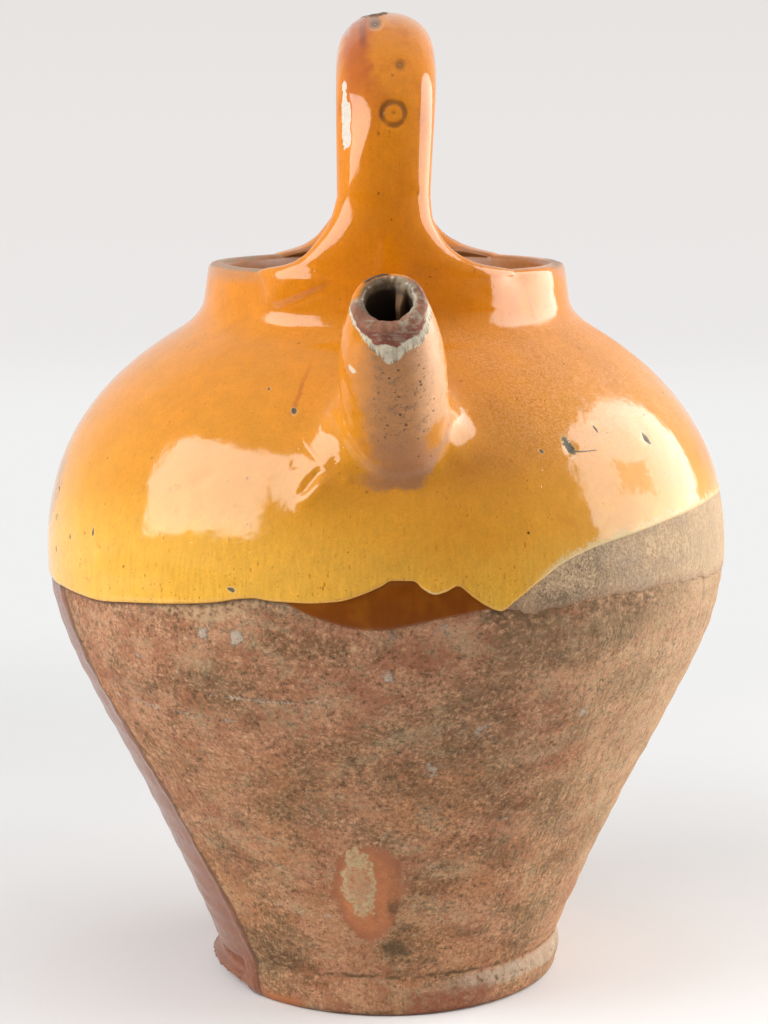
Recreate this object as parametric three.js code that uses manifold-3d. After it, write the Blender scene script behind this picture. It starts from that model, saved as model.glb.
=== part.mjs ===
// Glazed terracotta water jug: thrown pot and collar, pulled strap handle, thrown spout
import * as THREE from "three";
import { mergeVertices } from "three/addons/utils/BufferGeometryUtils.js";
import Module from "manifold-3d";

const wasm = await Module();
wasm.setup();

// Driving dimensions in millimetres and degrees: the jug stands on z = 0, its spout faces -Y
const bellyRadius = 124;
const bellyHeight = 160;
const footRadius = 64.8;
const footBeadHeight = 9;
const waistRadius = 65.3;
const waistHeight = 15;
const seatRadius = 66.4;
const seatHeight = 245;
const mouthRadius = 57;
const rimRadius = 63.6;
const rimHeight = 263;
const overallHeight = 352;
const wall = 7;
const floorThickness = 9;
const strapNeckWidth = 31.5;
const strapBendWidth = 35;
const strapCrownWidth = 32.5;
const strapFootThickness = 10.5;
const strapLegThickness = 16;
const strapCrownThickness = 19;
const strapFlareWidth = 29;
const strapFlareHeight = 25;
const spoutPitch = 52;
const spoutLength = 55;
const spoutTipRadius = 11.6;
const spoutRootRadius = 17.4;
const spoutBoreRadius = 7.6;
const glazeThickness = 0.8;
const slipThickness = 0.4;
const jointGap = 0.3;

// Facets round the thrown pieces, the spout and the strap
const potFacets = 54;
const spoutFacets = 28;
const strapFacets = 18;

const mergeTolerance = 1e-3;
const up = new THREE.Vector3(0, 0, 1);

function at(radius, height) {
  return new THREE.Vector2(radius, height);
}

function line(from, to) {
  return new THREE.LineCurve(from, to);
}

function bow(from, pull, to) {
  return new THREE.QuadraticBezierCurve(from, pull, to);
}

function sweep(from, pullFrom, pullTo, to) {
  return new THREE.CubicBezierCurve(from, pullFrom, pullTo, to);
}

// Joins stretches of curve, each with its number of steps, into one outline
function trace(stretches) {
  const points = [stretches[0][0].getPoint(0)];
  for (const [curve, steps] of stretches) {
    points.push(...curve.getPoints(steps).slice(1));
  }
  return points;
}

// Turns an outline about the upright axis, with the first facet edge at the front
function revolve(points, facets) {
  return new THREE.LatheGeometry(points, facets).rotateX(Math.PI / 2);
}

function onCircle(radius, angle, height) {
  return new THREE.Vector3(radius * Math.sin(angle), -radius * Math.cos(angle), height);
}

function ease(share) {
  return THREE.MathUtils.smoothstep(share, 0, 1);
}

// Skins a row of rings that all have the same number of points, as a loop or with two flat ends
function loft(rings, isLoop = false) {
  const count = rings[0].length;
  const faces = [];
  const quad = (a, b, c, d) => faces.push(a, b, c, a, c, d);
  const spans = isLoop ? rings.length : rings.length - 1;
  for (let i = 0; i < spans; i += 1) {
    const near = i * count;
    const far = ((i + 1) % rings.length) * count;
    for (let j = 0; j < count; j += 1) {
      const next = (j + 1) % count;
      quad(near + j, near + next, far + next, far + j);
    }
  }
  if (!isLoop) {
    const last = (rings.length - 1) * count;
    for (let j = 0; j < count / 2; j += 1) {
      const across = (count - j) % count;
      quad(j, across, count - j - 1, j + 1);
      quad(last + j, last + j + 1, last + count - j - 1, last + across);
    }
  }
  const geometry = new THREE.BufferGeometry();
  const positions = rings.flat().flatMap((point) => point.toArray());
  geometry.setAttribute("position", new THREE.Float32BufferAttribute(positions, 3));
  geometry.setIndex(faces);
  return geometry;
}

function solidOf(geometry) {
  const plain = geometry.clone();
  plain.deleteAttribute("normal");
  plain.deleteAttribute("uv");
  const merged = mergeVertices(plain, mergeTolerance);
  return new wasm.Manifold(new wasm.Mesh({
    numProp: 3,
    vertProperties: merged.attributes.position.array,
    triVerts: new Uint32Array(merged.index.array),
  }));
}

function geometryOf(solid) {
  const mesh = solid.getMesh();
  const geometry = new THREE.BufferGeometry();
  geometry.setAttribute("position", new THREE.BufferAttribute(mesh.vertProperties, 3));
  geometry.setIndex(new THREE.BufferAttribute(mesh.triVerts, 1));
  return geometry;
}

function piece(name, geometry, material) {
  geometry.computeVertexNormals();
  const mesh = new THREE.Mesh(geometry, material);
  mesh.name = name;
  return mesh;
}

function finish(color, roughness) {
  return new THREE.MeshStandardMaterial({ color, roughness, metalness: 0 });
}

const bareClay = finish(0x8b5c47, 0.85);
const honeyGlaze = finish(0xc9811f, 0.15);
const amberGlaze = finish(0x8a4d0e, 0.2);
const deepGlaze = finish(0xbe6a1c, 0.15);
const peachGlaze = finish(0xc08a5e, 0.45);
const paleSlip = finish(0xb39772, 0.8);

// Outer outline of the pot: the cone up to the belly and the shoulder above it
const coneSlope = 0.39;
const conePull = 84.5;
const bellyPullDown = 36;
const bellyPullUp = 61.3;
const shoulderSlope = 0.6;
const shoulderPull = 7.2;
const coneLine = sweep(
  at(waistRadius, waistHeight),
  at(waistRadius + coneSlope * conePull, waistHeight + conePull),
  at(bellyRadius, bellyHeight - bellyPullDown),
  at(bellyRadius, bellyHeight),
);
const shoulderLine = sweep(
  at(bellyRadius, bellyHeight),
  at(bellyRadius, bellyHeight + bellyPullUp),
  at(seatRadius + shoulderSlope * shoulderPull, seatHeight - shoulderPull),
  at(seatRadius, seatHeight),
);
const outsideSteps = [7, 10];
const insideSteps = [5, 6];

// The cone and shoulder moved outwards by a distance, along their normals
function raisedOutline(lift, [coneSteps, shoulderSteps] = outsideSteps) {
  const points = [];
  for (const [curve, steps] of [[coneLine, coneSteps], [shoulderLine, shoulderSteps]]) {
    for (let step = points.length ? 1 : 0; step <= steps; step += 1) {
      const spot = curve.getPoint(step / steps);
      const along = curve.getTangent(step / steps);
      points.push(at(spot.x + lift * along.y, spot.y - lift * along.x));
    }
  }
  return points;
}

// The whole section: foot bead, outside, flat seat for the collar, inside and floor
const footEase = 2.5;
const floorCorner = 13;

function potOutline() {
  const footEdge = at(footRadius, footEase);
  const outside = raisedOutline(0);
  const inside = raisedOutline(-wall, insideSteps).reverse();
  const wallFoot = inside[inside.length - 1];
  const floorEdge = at(wallFoot.x - floorCorner, floorThickness);
  return [
    at(0, 0),
    ...bow(at(footRadius - footEase, 0), at(footRadius, 0), footEdge).getPoints(2),
    ...bow(footEdge, at(footRadius + footEase, footBeadHeight), outside[0]).getPoints(3).slice(1, -1),
    ...outside,
    at(mouthRadius, seatHeight),
    ...inside,
    ...bow(wallFoot, at(wallFoot.x, floorThickness), floorEdge).getPoints(3).slice(1),
    at(0, floorThickness),
  ];
}

// The pot's outside as a plain solid, that much larger, for cutting what sits on it
function potEnvelope(lift) {
  const points = raisedOutline(lift);
  const foot = points[0].y;
  const top = points[points.length - 1].y;
  return revolve([at(0, foot), ...points, at(0, top)], potFacets);
}

// A coat on the pot between two distances from the clay
function coat(inner, outer) {
  const inside = raisedOutline(inner).reverse();
  const outside = raisedOutline(outer);
  return solidOf(revolve([...outside, ...inside, outside[0]], potFacets));
}

// Spout: a bullet-shaped thrown tube, built along its own axis from the root and then leant out
const spoutGroup = new THREE.Group();
const spoutRootReach = 105;
const spoutRootHeight = 216;
const spoutRootSide = 3;
const spoutLean = -2.5;
const spoutPlunge = 20;
const spoutLip = 1.6;
const spoutInnerRoot = 12.5;
const pitch = THREE.MathUtils.degToRad(spoutPitch);
const spoutAxis = new THREE.Vector3(
  spoutLean / spoutLength,
  -Math.cos(pitch),
  Math.sin(pitch),
).normalize();
spoutGroup.position.set(spoutRootSide, -spoutRootReach, spoutRootHeight);
spoutGroup.quaternion.setFromUnitVectors(up, spoutAxis);
spoutGroup.updateMatrix();
const intoSpout = spoutGroup.matrix.clone().invert();

const spoutWaist = 10;
const spoutBulge = at(16.6, 40);
const spoutSide = sweep(
  at(spoutRootRadius, -spoutPlunge),
  at(spoutRootRadius, spoutWaist),
  spoutBulge,
  at(spoutTipRadius, spoutLength - spoutLip),
);
const borePull = at(30, 20);
const spoutSideSteps = 8;

function spoutOutline() {
  const mouth = at(spoutBoreRadius, spoutLength - spoutLip);
  const lipMiddle = at((spoutTipRadius + spoutBoreRadius) / 2, spoutLength);
  const root = at(spoutInnerRoot, -spoutPlunge);
  return trace([
    [spoutSide, spoutSideSteps],
    [bow(spoutSide.v3, at(spoutTipRadius, spoutLength), lipMiddle), 2],
    [bow(lipMiddle, at(spoutBoreRadius, spoutLength), mouth), 2],
    [sweep(mouth, at(spoutBoreRadius, borePull.x), at(spoutInnerRoot, borePull.y), root), 4],
    [line(root, spoutSide.v0), 1],
  ]);
}

// Coil of clay worked round the spout's root, hollowed for the spout and coped to the pot
const coilTop = 14;
const coilSpread = 6.5;
const coilPull = at(1, 2);
const coilSteps = 6;

function coilSkin(lift) {
  const high = at(spoutRootRadius + jointGap, coilTop + lift);
  const low = at(spoutRootRadius + coilSpread + lift, -spoutPlunge);
  const pull = at(spoutRootRadius + jointGap + coilPull.x + lift, coilPull.y);
  return bow(low, pull, high);
}

function coilOutline() {
  const skin = coilSkin(0);
  const sleeve = at(spoutRootRadius + jointGap, -spoutPlunge);
  return trace([
    [skin, coilSteps],
    [line(skin.v2, sleeve), 3],
    [line(sleeve, skin.v0), 1],
  ]);
}

// What the glaze stands clear of: the coil filled in and a little larger
function coilEnvelope() {
  const skin = coilSkin(jointGap);
  const points = [at(0, -spoutPlunge), ...trace([[skin, coilSteps]]), at(0, coilTop + jointGap)];
  return revolve(points, spoutFacets);
}

const seatOnPot = solidOf(potEnvelope(jointGap).applyMatrix4(intoSpout));
const spoutTube = solidOf(revolve(spoutOutline(), spoutFacets));
const coilRing = solidOf(revolve(coilOutline(), spoutFacets));
const spoutGeometry = geometryOf(spoutTube.subtract(seatOnPot));
const coilGeometry = geometryOf(coilRing.subtract(seatOnPot));
spoutGroup.add(piece("spout", spoutGeometry, peachGlaze));
spoutGroup.add(piece("spout_luting_coil", coilGeometry, honeyGlaze));

// Pot: pierced under the spout, with a chip broken out of the foot on the left
const pierceLength = 60;
const chipSize = at(11, 8);
const chipAngle = THREE.MathUtils.degToRad(-63);

function pierce() {
  const drill = new THREE.CylinderGeometry(spoutInnerRoot, spoutInnerRoot, pierceLength, spoutFacets);
  return solidOf(drill.rotateX(Math.PI / 2).applyMatrix4(spoutGroup.matrix));
}

function footChip() {
  const lump = new THREE.SphereGeometry(1, 12, 8).scale(chipSize.x, chipSize.x, chipSize.y);
  const spot = onCircle(footRadius + chipSize.x / 3, chipAngle, 0);
  return solidOf(lump.translate(spot.x, spot.y, spot.z));
}

const pot = solidOf(revolve(potOutline(), potFacets)).subtract(pierce()).subtract(footChip());
const potGeometry = geometryOf(pot);

// Collar: a low tapering ring with a round lip and a fillet where it stands on the shoulder
const collarFoot = seatHeight + jointGap;
const collarFillet = 5;
const collarFilletPull = 1;
const collarBaseRadius = 65.4;
const lipDepth = 3;
const lipFlat = 1.2;

function collarRadius(height) {
  const share = (height - collarFoot - collarFillet) / (rimHeight - lipDepth - collarFoot - collarFillet);
  return THREE.MathUtils.lerp(collarBaseRadius, rimRadius, share);
}

function collarOutline() {
  const lipMiddle = (rimRadius + mouthRadius) / 2;
  const outerFoot = at(seatRadius + glazeThickness, collarFoot);
  const innerFoot = at(mouthRadius, collarFoot);
  const wallFoot = at(collarBaseRadius, collarFoot + collarFillet);
  const wallTop = at(rimRadius, rimHeight - lipDepth);
  const lipOuter = at(lipMiddle + lipFlat, rimHeight);
  const lipInner = at(lipMiddle - lipFlat, rimHeight);
  const innerTop = at(mouthRadius, rimHeight - lipDepth);
  return trace([
    [bow(outerFoot, at(collarBaseRadius, collarFoot + collarFilletPull), wallFoot), 3],
    [line(wallFoot, wallTop), 1],
    [bow(wallTop, at(rimRadius, rimHeight), lipOuter), 2],
    [line(lipOuter, lipInner), 1],
    [bow(lipInner, at(mouthRadius, rimHeight), innerTop), 2],
    [line(innerTop, innerFoot), 1],
    [line(innerFoot, outerFoot), 1],
  ]);
}

// Handle: a pulled strap that arches from the front of the rim to the back and flares at both feet
const strapFoot = rimHeight + jointGap;
const strapFootReach = 61.5;
const springHeight = strapFoot + strapFlareHeight;
const flareStart = 0.1;
const flareSteps = 6;
const archSteps = 10;
const cornerPower = 0.85;
const crownHeight = overallHeight - strapCrownThickness / 2;
const archRise = crownHeight - springHeight;
const bendHeight = 325;

// A size of the strap that eases from its foot to its neck, its bend and its crown
function strapSize(height, foot, neck, bend, crown) {
  const stops = [strapFoot, springHeight, bendHeight, crownHeight];
  const sizes = [foot, neck, bend, crown];
  let size = foot;
  for (let i = 0; i + 1 < stops.length; i += 1) {
    const share = ease((height - stops[i]) / (stops[i + 1] - stops[i]));
    size += share * (sizes[i + 1] - sizes[i]);
  }
  return size;
}

// An oval section, bent round the collar at the foot and straight above it
function strapSection(centre, outward, flare) {
  const width = strapSize(centre.z, strapNeckWidth, strapNeckWidth, strapBendWidth, strapCrownWidth);
  const thickness = strapSize(
    centre.z,
    strapFootThickness,
    strapLegThickness,
    strapLegThickness,
    strapCrownThickness,
  );
  const bend = (1 - ease((centre.z - strapFoot) / strapFlareHeight)) / strapFootReach;
  const points = [];
  for (let i = 0; i < strapFacets; i += 1) {
    const turn = (2 * Math.PI * i) / strapFacets;
    const c = Math.cos(turn);
    const s = Math.sin(turn);
    const across = (width / 2 + flare) * Math.sign(c) * Math.abs(c) ** cornerPower;
    const out = (thickness / 2) * Math.sign(s) * Math.abs(s) ** cornerPower;
    const radius = bend > mergeTolerance ? 1 / bend : 0;
    const x = radius ? (radius + out) * Math.sin(across * bend) : across;
    const rise = radius ? (radius + out) * Math.cos(across * bend) - radius : out;
    points.push(new THREE.Vector3(x, centre.y + rise * outward.y, centre.z + rise * outward.z));
  }
  return points;
}

function strapHalf() {
  const stations = [];
  const front = new THREE.Vector3(0, -1, 0);
  for (let i = 0; i <= flareSteps; i += 1) {
    const turn = THREE.MathUtils.lerp(flareStart, Math.PI / 2, i / flareSteps);
    const height = strapFoot + strapFlareHeight * (Math.cos(flareStart) - Math.cos(turn));
    const flare = strapFlareWidth * (1 - Math.sin(turn));
    stations.push([new THREE.Vector3(0, -strapFootReach, height), front, flare]);
  }
  for (let i = 1; i <= archSteps; i += 1) {
    const turn = (Math.PI / 2) * (i / archSteps);
    const centre = new THREE.Vector3(
      0,
      -strapFootReach * Math.cos(turn),
      springHeight + archRise * Math.sin(turn),
    );
    const outward = new THREE.Vector3(0, -archRise * Math.cos(turn), strapFootReach * Math.sin(turn));
    stations.push([centre, outward.normalize(), 0]);
  }
  return stations.map((station) => strapSection(...station));
}

function handleGeometry() {
  const front = strapHalf();
  const mirrored = front.slice(0, -1).reverse();
  const back = mirrored.map((ring) => ring.map((point) => new THREE.Vector3(point.x, -point.y, point.z)));
  return loft([...front, ...back].reverse());
}

// Clay pads thumbed down over the collar's face where the strap's feet land
const padHalfAngle = THREE.MathUtils.degToRad(42);
const padSteps = 12;
const padHeight = 11;
const padEndHeight = 3.3;
const padEdge = 0.6;
const padBelly = 0.8;
const padEndSwell = 0.1;
const padTop = rimHeight - jointGap / 2;

function padGeometry() {
  const rings = [];
  for (let i = 0; i <= padSteps; i += 1) {
    const share = (2 * i) / padSteps - 1;
    const swell = Math.max(Math.cos((Math.PI / 2) * share), padEndSwell);
    const angle = padHalfAngle * share;
    const bottom = padTop - THREE.MathUtils.lerp(padEndHeight, padHeight, swell);
    const middle = (bottom + padTop) / 2;
    const face = strapFootReach + strapFootThickness / 2;
    const proud = (face - collarRadius(padTop)) * swell;
    rings.push([
      onCircle(collarRadius(bottom) + jointGap, angle, bottom),
      onCircle(collarRadius(bottom) + jointGap + padEdge, angle, bottom),
      onCircle(collarRadius(middle) + jointGap + padEdge + padBelly * proud, angle, middle),
      onCircle(collarRadius(padTop) + jointGap + padEdge + proud, angle, padTop),
      onCircle(collarRadius(padTop) + jointGap, angle, padTop),
      onCircle(collarRadius(middle) + jointGap, angle, middle),
    ]);
  }
  return loft(rings.reverse());
}

// Coats on the pot, each trimmed by the line where it ran to: angle from the front, height
const coatTop = seatHeight - jointGap;
const coatReach = at(mouthRadius, bellyRadius + wall);
const glazeRun = new THREE.SplineCurve([
  at(-180, 162),
  at(-130, 152),
  at(-71, 153),
  at(-38, 157),
  at(-8, 162),
  at(2, 169),
  at(7.4, 164.8),
  at(11, 168),
  at(16.6, 159),
  at(23, 165.5),
  at(34, 176),
  at(54, 180.5),
  at(80, 180),
  at(130, 170),
  at(180, 162),
]);
const glazeRunSteps = 66;
const amberRun = new THREE.SplineCurve([at(-20, 160.6), at(-8, 155.4), at(1, 152.7), at(15.6, 158)]);
const amberRunSteps = 9;
const slipRun = new THREE.SplineCurve([at(18, 158), at(41, 159.5), at(75, 155), at(120, 156), at(150, 163)]);
const slipRunSteps = 12;

// A thick ring or sector from a run line up to the coats' top
function runSector(run, steps, drop, isLoop) {
  const stations = run.getPoints(steps).slice(0, isLoop ? -1 : undefined);
  const rings = stations.map((spot) => {
    const angle = THREE.MathUtils.degToRad(spot.x);
    return [
      onCircle(coatReach.x, angle, spot.y - drop),
      onCircle(coatReach.x, angle, coatTop),
      onCircle(coatReach.y, angle, coatTop),
      onCircle(coatReach.y, angle, spot.y - drop),
    ];
  });
  return solidOf(loft(rings, isLoop));
}

function glazeSector(drop) {
  return runSector(glazeRun, glazeRunSteps, drop, true);
}

function glazeGeometry() {
  const spoutRoot = solidOf(coilEnvelope().applyMatrix4(spoutGroup.matrix));
  const skin = coat(jointGap, jointGap + glazeThickness).intersect(glazeSector(0));
  return geometryOf(skin.subtract(spoutRoot));
}

// An earlier coat that shows below the glaze's run line
function lapGeometry(run, steps) {
  const skin = coat(jointGap, jointGap + slipThickness).intersect(runSector(run, steps, 0, false));
  return geometryOf(skin.subtract(glazeSector(jointGap)));
}

const jug = new THREE.Group();
jug.add(piece("body", potGeometry, bareClay));
jug.add(piece("collar", revolve(collarOutline(), potFacets), deepGlaze));
jug.add(spoutGroup);
jug.add(piece("handle", handleGeometry(), deepGlaze));
const frontRoot = piece("handle_front_root", padGeometry(), deepGlaze);
const backRoot = piece("handle_back_root", padGeometry(), deepGlaze);
backRoot.rotation.z = Math.PI;
jug.add(frontRoot, backRoot);
jug.add(piece("glaze_coat", glazeGeometry(), honeyGlaze));
jug.add(piece("amber_glaze_lap", lapGeometry(amberRun, amberRunSteps), amberGlaze));
jug.add(piece("slip_band", lapGeometry(slipRun, slipRunSteps), paleSlip));

export default jug;
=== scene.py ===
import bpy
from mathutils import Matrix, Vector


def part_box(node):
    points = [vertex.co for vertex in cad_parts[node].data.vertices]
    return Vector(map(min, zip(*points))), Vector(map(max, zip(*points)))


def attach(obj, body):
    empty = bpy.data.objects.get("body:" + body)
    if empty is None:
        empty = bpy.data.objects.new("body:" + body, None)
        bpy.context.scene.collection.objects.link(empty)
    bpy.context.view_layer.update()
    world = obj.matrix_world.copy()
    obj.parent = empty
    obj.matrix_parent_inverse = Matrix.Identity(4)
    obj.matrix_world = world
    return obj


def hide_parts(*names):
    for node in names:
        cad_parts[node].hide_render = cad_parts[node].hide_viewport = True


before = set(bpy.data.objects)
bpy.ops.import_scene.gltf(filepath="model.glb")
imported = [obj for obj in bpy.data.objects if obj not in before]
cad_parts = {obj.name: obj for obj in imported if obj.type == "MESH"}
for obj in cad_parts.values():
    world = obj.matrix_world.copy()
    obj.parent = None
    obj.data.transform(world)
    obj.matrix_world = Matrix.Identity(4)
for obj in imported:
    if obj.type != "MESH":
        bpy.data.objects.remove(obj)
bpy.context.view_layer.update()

import bisect
import math

import bmesh
import bpy
from mathutils import Quaternion, Vector, noise

mm = 0.001  # pieces are shaped in millimetres and scaled to metres when they are finished


# small maths

def ease(low, high, value):  # 0 at low, 1 at high, smooth between
    share = min(max((value - low) / (high - low), 0.0), 1.0)
    return share * share * (3 - 2 * share)


def between(start, end, share):
    return start + (end - start) * share


def hump(distance, size):  # a round bump, 1 at its middle
    return math.exp(-(distance / size) ** 2)


def smoothCurve(points):  # a curve through a few points that doesn't overshoot them
    xs = [p[0] for p in points]
    ys = [p[1] for p in points]
    steps = [(ys[i + 1] - ys[i]) / (xs[i + 1] - xs[i]) for i in range(len(xs) - 1)]
    slopes = [steps[0]]
    for before, after in zip(steps, steps[1:]):
        slopes.append(2 * before * after / (before + after) if before * after > 0 else 0.0)
    slopes.append(steps[-1])

    def height(x):
        if x <= xs[0]:
            return ys[0]
        if x >= xs[-1]:
            return ys[-1]
        i = bisect.bisect_right(xs, x) - 1
        span = xs[i + 1] - xs[i]
        t = (x - xs[i]) / span
        start = (1 + 2 * t) * (1 - t) ** 2 * ys[i] + t * (1 - t) ** 2 * span * slopes[i]
        end = t * t * (3 - 2 * t) * ys[i + 1] + t * t * (t - 1) * span * slopes[i + 1]
        return start + end

    return height


def bezier(a, b, c, d, t):
    s = 1 - t
    return tuple(s ** 3 * p + 3 * s * s * t * q + 3 * s * t * t * r + t ** 3 * u
                 for p, q, r, u in zip(a, b, c, d))


def rough(point, size, octaves=3, seed=0.0):  # noise from about -1 to 1
    return noise.fractal(Vector(point) / size + Vector((seed, 7.1 * seed, -3.3 * seed)), 1.0, 2.0, octaves)


# the pot's outline, shared by the clay, its coats and the spout

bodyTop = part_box("body")[1] / mm
pot = {
    "bellyRadius": bodyTop.x - 0.4, "bellyHeight": 160.0,
    "waistRadius": 64.9, "waistHeight": 15.0,
    "seatRadius": 66.0, "seatHeight": bodyTop.z,
    "footRadius": 64.4, "footEase": 2.4,
    "wall": 7.0, "floor": 9.0, "floorCorner": 13.0,
    "segments": 480, "wobble": 0.35,
}
conePulls = ((pot["waistRadius"] + 33.0, 99.5), (pot["bellyRadius"], 124.0))
shoulderPulls = ((pot["bellyRadius"], 221.3), (pot["seatRadius"] + 4.3, 237.8))
belly = (pot["bellyRadius"], pot["bellyHeight"])
waist = (pot["waistRadius"], pot["waistHeight"])
seat = (pot["seatRadius"], pot["seatHeight"])
outline = [bezier(waist, *conePulls, belly, i / 160) for i in range(160)]
outline += [bezier(belly, *shoulderPulls, seat, i / 160) for i in range(161)]
outlineHeights = [p[1] for p in outline]
outlineRadii = [p[0] for p in outline]
outlineArcs = [0.0]
for low, high in zip(outline, outline[1:]):
    outlineArcs.append(outlineArcs[-1] + math.dist(low, high))


def lookUp(keys, values, key):
    i = min(max(bisect.bisect_right(keys, key) - 1, 0), len(keys) - 2)
    return between(values[i], values[i + 1], (key - keys[i]) / (keys[i + 1] - keys[i]))


def radiusAt(height):
    return lookUp(outlineHeights, outlineRadii, height)


def arcAt(height):
    return lookUp(outlineHeights, outlineArcs, height)


def heightAt(arc):
    return lookUp(outlineArcs, outlineHeights, arc)


def outwards(height):  # the outline's outward direction, as radius and height
    slope = (radiusAt(height + 0.4) - radiusAt(height - 0.4)) / 0.8
    length = math.hypot(1, slope)
    return 1 / length, -slope / length


def wobble(angle, height):  # the thrown wall isn't quite round; only inwards, to stay in the box
    swing = math.sin(2 * angle + 0.6) + 0.6 * math.sin(3 * angle - 1.1 + height / 90)
    return -pot["wobble"] * (1.0 + 0.6 * swing)


def turned(radius, angle, height):  # angle 0 faces the viewer, on -Y, and grows towards +X
    return Vector((radius * math.sin(angle), -radius * math.cos(angle), height))


def onPot(angle, height, lift):
    radial, climb = outwards(height)
    radius = radiusAt(height) + wobble(angle, height)
    return turned(radius + radial * lift, angle, height + climb * lift)


def normalAt(angle, height):
    radial, climb = outwards(height)
    return turned(radial, angle, climb)


def angleOf(point):
    return math.atan2(point[0], -point[1])


def throwBlank(rows, segments, closed=False):  # a spun cylinder whose height counts its rows
    bm = bmesh.new()
    chain = [bm.verts.new((1, 0, row)) for row in range(rows)]
    edges = [bm.edges.new(pair) for pair in zip(chain, chain[1:])]
    if closed:
        edges.append(bm.edges.new((chain[-1], chain[0])))
    bmesh.ops.spin(bm, geom=chain + edges, cent=(0, 0, 0), axis=(0, 0, 1), angle=math.tau,
                   steps=segments, use_merge=True)
    return bm


def finishPiece(bm, name, material, slot, *nodes):
    bmesh.ops.remove_doubles(bm, verts=bm.verts, dist=0.004)
    bmesh.ops.recalc_face_normals(bm, faces=bm.faces)
    bmesh.ops.scale(bm, vec=(mm, mm, mm), verts=bm.verts)
    mesh = bpy.data.meshes.new(name)
    bm.to_mesh(mesh)
    bm.free()
    mesh.polygons.foreach_set("use_smooth", [True] * len(mesh.polygons))
    mesh.materials.append(material)
    piece = bpy.data.objects.new(name, mesh)
    bpy.context.scene.collection.objects.link(piece)
    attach(piece, "root")
    if nodes:
        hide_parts(*nodes)
    print(name, "has", len(mesh.polygons), "faces")
    return piece


# shader building

class Wire:
    # one socket in a material: arithmetic on wires adds Math nodes
    def __init__(self, tree, socket):
        self.tree = tree
        self.socket = socket

    def node(self, kind, settings=None, sockets=None, output=0):
        made = self.tree.nodes.new("ShaderNode" + kind)
        for name, value in (settings or {}).items():
            if name == "stops":
                fillRamp(made.color_ramp, value)
            else:
                setattr(made, name, value)
        for key, value in (sockets or {}).items():
            if isinstance(value, Wire):
                self.tree.links.new(value.socket, made.inputs[key])
            else:
                made.inputs[key].default_value = value
        return Wire(self.tree, made.outputs[output])

    def math(self, operation, *values):
        return self.node("Math", {"operation": operation}, dict(enumerate(values)))

    def __neg__(self):
        return self.math("MULTIPLY", self, -1.0)

    def __abs__(self):
        return self.math("ABSOLUTE", self)


operations = {"add": "ADD", "sub": "SUBTRACT", "mul": "MULTIPLY", "truediv": "DIVIDE", "pow": "POWER"}
for sign, kind in operations.items():  # each sign, and its reflected form for a number on the left
    setattr(Wire, f"__{sign}__", lambda self, other, kind=kind: self.math(kind, self, other))
    setattr(Wire, f"__r{sign}__", lambda self, other, kind=kind: self.math(kind, other, self))


class Layers:
    # a surface's colour, with stains and coats laid over it in turn
    def __init__(self, palette, wire):
        self.palette = palette
        self.wire = wire

    def lay(self, mask, over, value=None):  # over is a colour or its name, value makes it darker or lighter
        over = self.palette[over] if isinstance(over, str) else over
        self.wire = tint(mask, self.wire, over if value is None else shade(over, value))

    def vary(self, value):
        self.wire = shade(self.wire, value)


def fillRamp(ramp, stops):
    while len(ramp.elements) < len(stops):
        ramp.elements.new(1.0)
    for element, (position, colour) in zip(ramp.elements, stops):
        element.position = position
        element.color = colour


def paint(red, green, blue):
    return (red, green, blue, 1.0)


sockets = {"roughness": "Roughness", "ior": "IOR", "specular": "Specular IOR Level"}


def startMaterial(name, **constants):
    material = bpy.data.materials.new(name)
    material.use_nodes = True
    tree = material.node_tree
    tree.nodes.clear()
    output = tree.nodes.new("ShaderNodeOutputMaterial")
    shader = tree.nodes.new("ShaderNodeBsdfPrincipled")
    tree.links.new(shader.outputs["BSDF"], output.inputs["Surface"])
    for key, value in constants.items():
        shader.inputs[sockets[key]].default_value = value
    coords = Wire(tree, None).node("TexCoord", output="Object")
    place = coords.node("VectorMath", {"operation": "SCALE"}, {0: coords, "Scale": 1 / mm})
    return material, shader, place


def feed(shader, name, wire):
    wire.tree.links.new(wire.socket, shader.inputs[name])


def mark(place, name):  # a value that the mesh carries
    return place.node("Attribute", {"attribute_name": name}, output="Fac")


def axis(place, letter):
    return place.node("SeparateXYZ", {}, {0: place}, letter)


def stretched(place, size, stretch):
    return place.node("VectorMath", {"operation": "MULTIPLY"},
                      {0: place, 1: tuple(s / size for s in stretch)})


def grain(place, size, detail=3.0, roughness=0.55, stretch=(1, 1, 1), warp=0.0):
    spot = stretched(place, size, stretch)
    return spot.node("TexNoise", {}, {"Vector": spot, "Scale": 1.0, "Detail": detail,
                                      "Roughness": roughness, "Distortion": warp})


def cells(place, size, stretch=(1, 1, 1), output="Distance"):
    spot = stretched(place, size, stretch)
    return spot.node("TexVoronoi", {}, {"Vector": spot, "Scale": 1.0}, output)


def rise(value, low, high):  # a smooth mask: 0 at low and 1 at high, which may be the lower number
    return value.node("MapRange", {"interpolation_type": "SMOOTHSTEP"},
                      {"Value": value, "From Min": low, "From Max": high})


def band(value, low, full, fade, high):  # 1 between full and fade, 0 below low and above high
    return rise(value, low, full) * rise(value, high, fade)


def tint(mask, under, over):
    return mask.node("Mix", {"data_type": "RGBA"}, {0: mask, 6: under, 7: over}, 2)


def shade(colour, value):  # a colour times a value
    base = colour if isinstance(colour, Wire) else colour[:3]
    return value.node("VectorMath", {"operation": "SCALE"}, {0: base, "Scale": value})


def specks(place, spacing, size, share):  # small round spots in some of the cells
    near = cells(place, spacing)
    pick = axis(cells(place, spacing, output="Color"), "X")
    return rise(near, size * 1.25 / spacing, size * 0.75 / spacing) * rise(pick, share + 0.01, share)


def bump(height, distance, strength=1.0):
    return height.node("Bump", {}, {"Height": height, "Distance": distance * mm, "Strength": strength})


# camera, lights and floor

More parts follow.
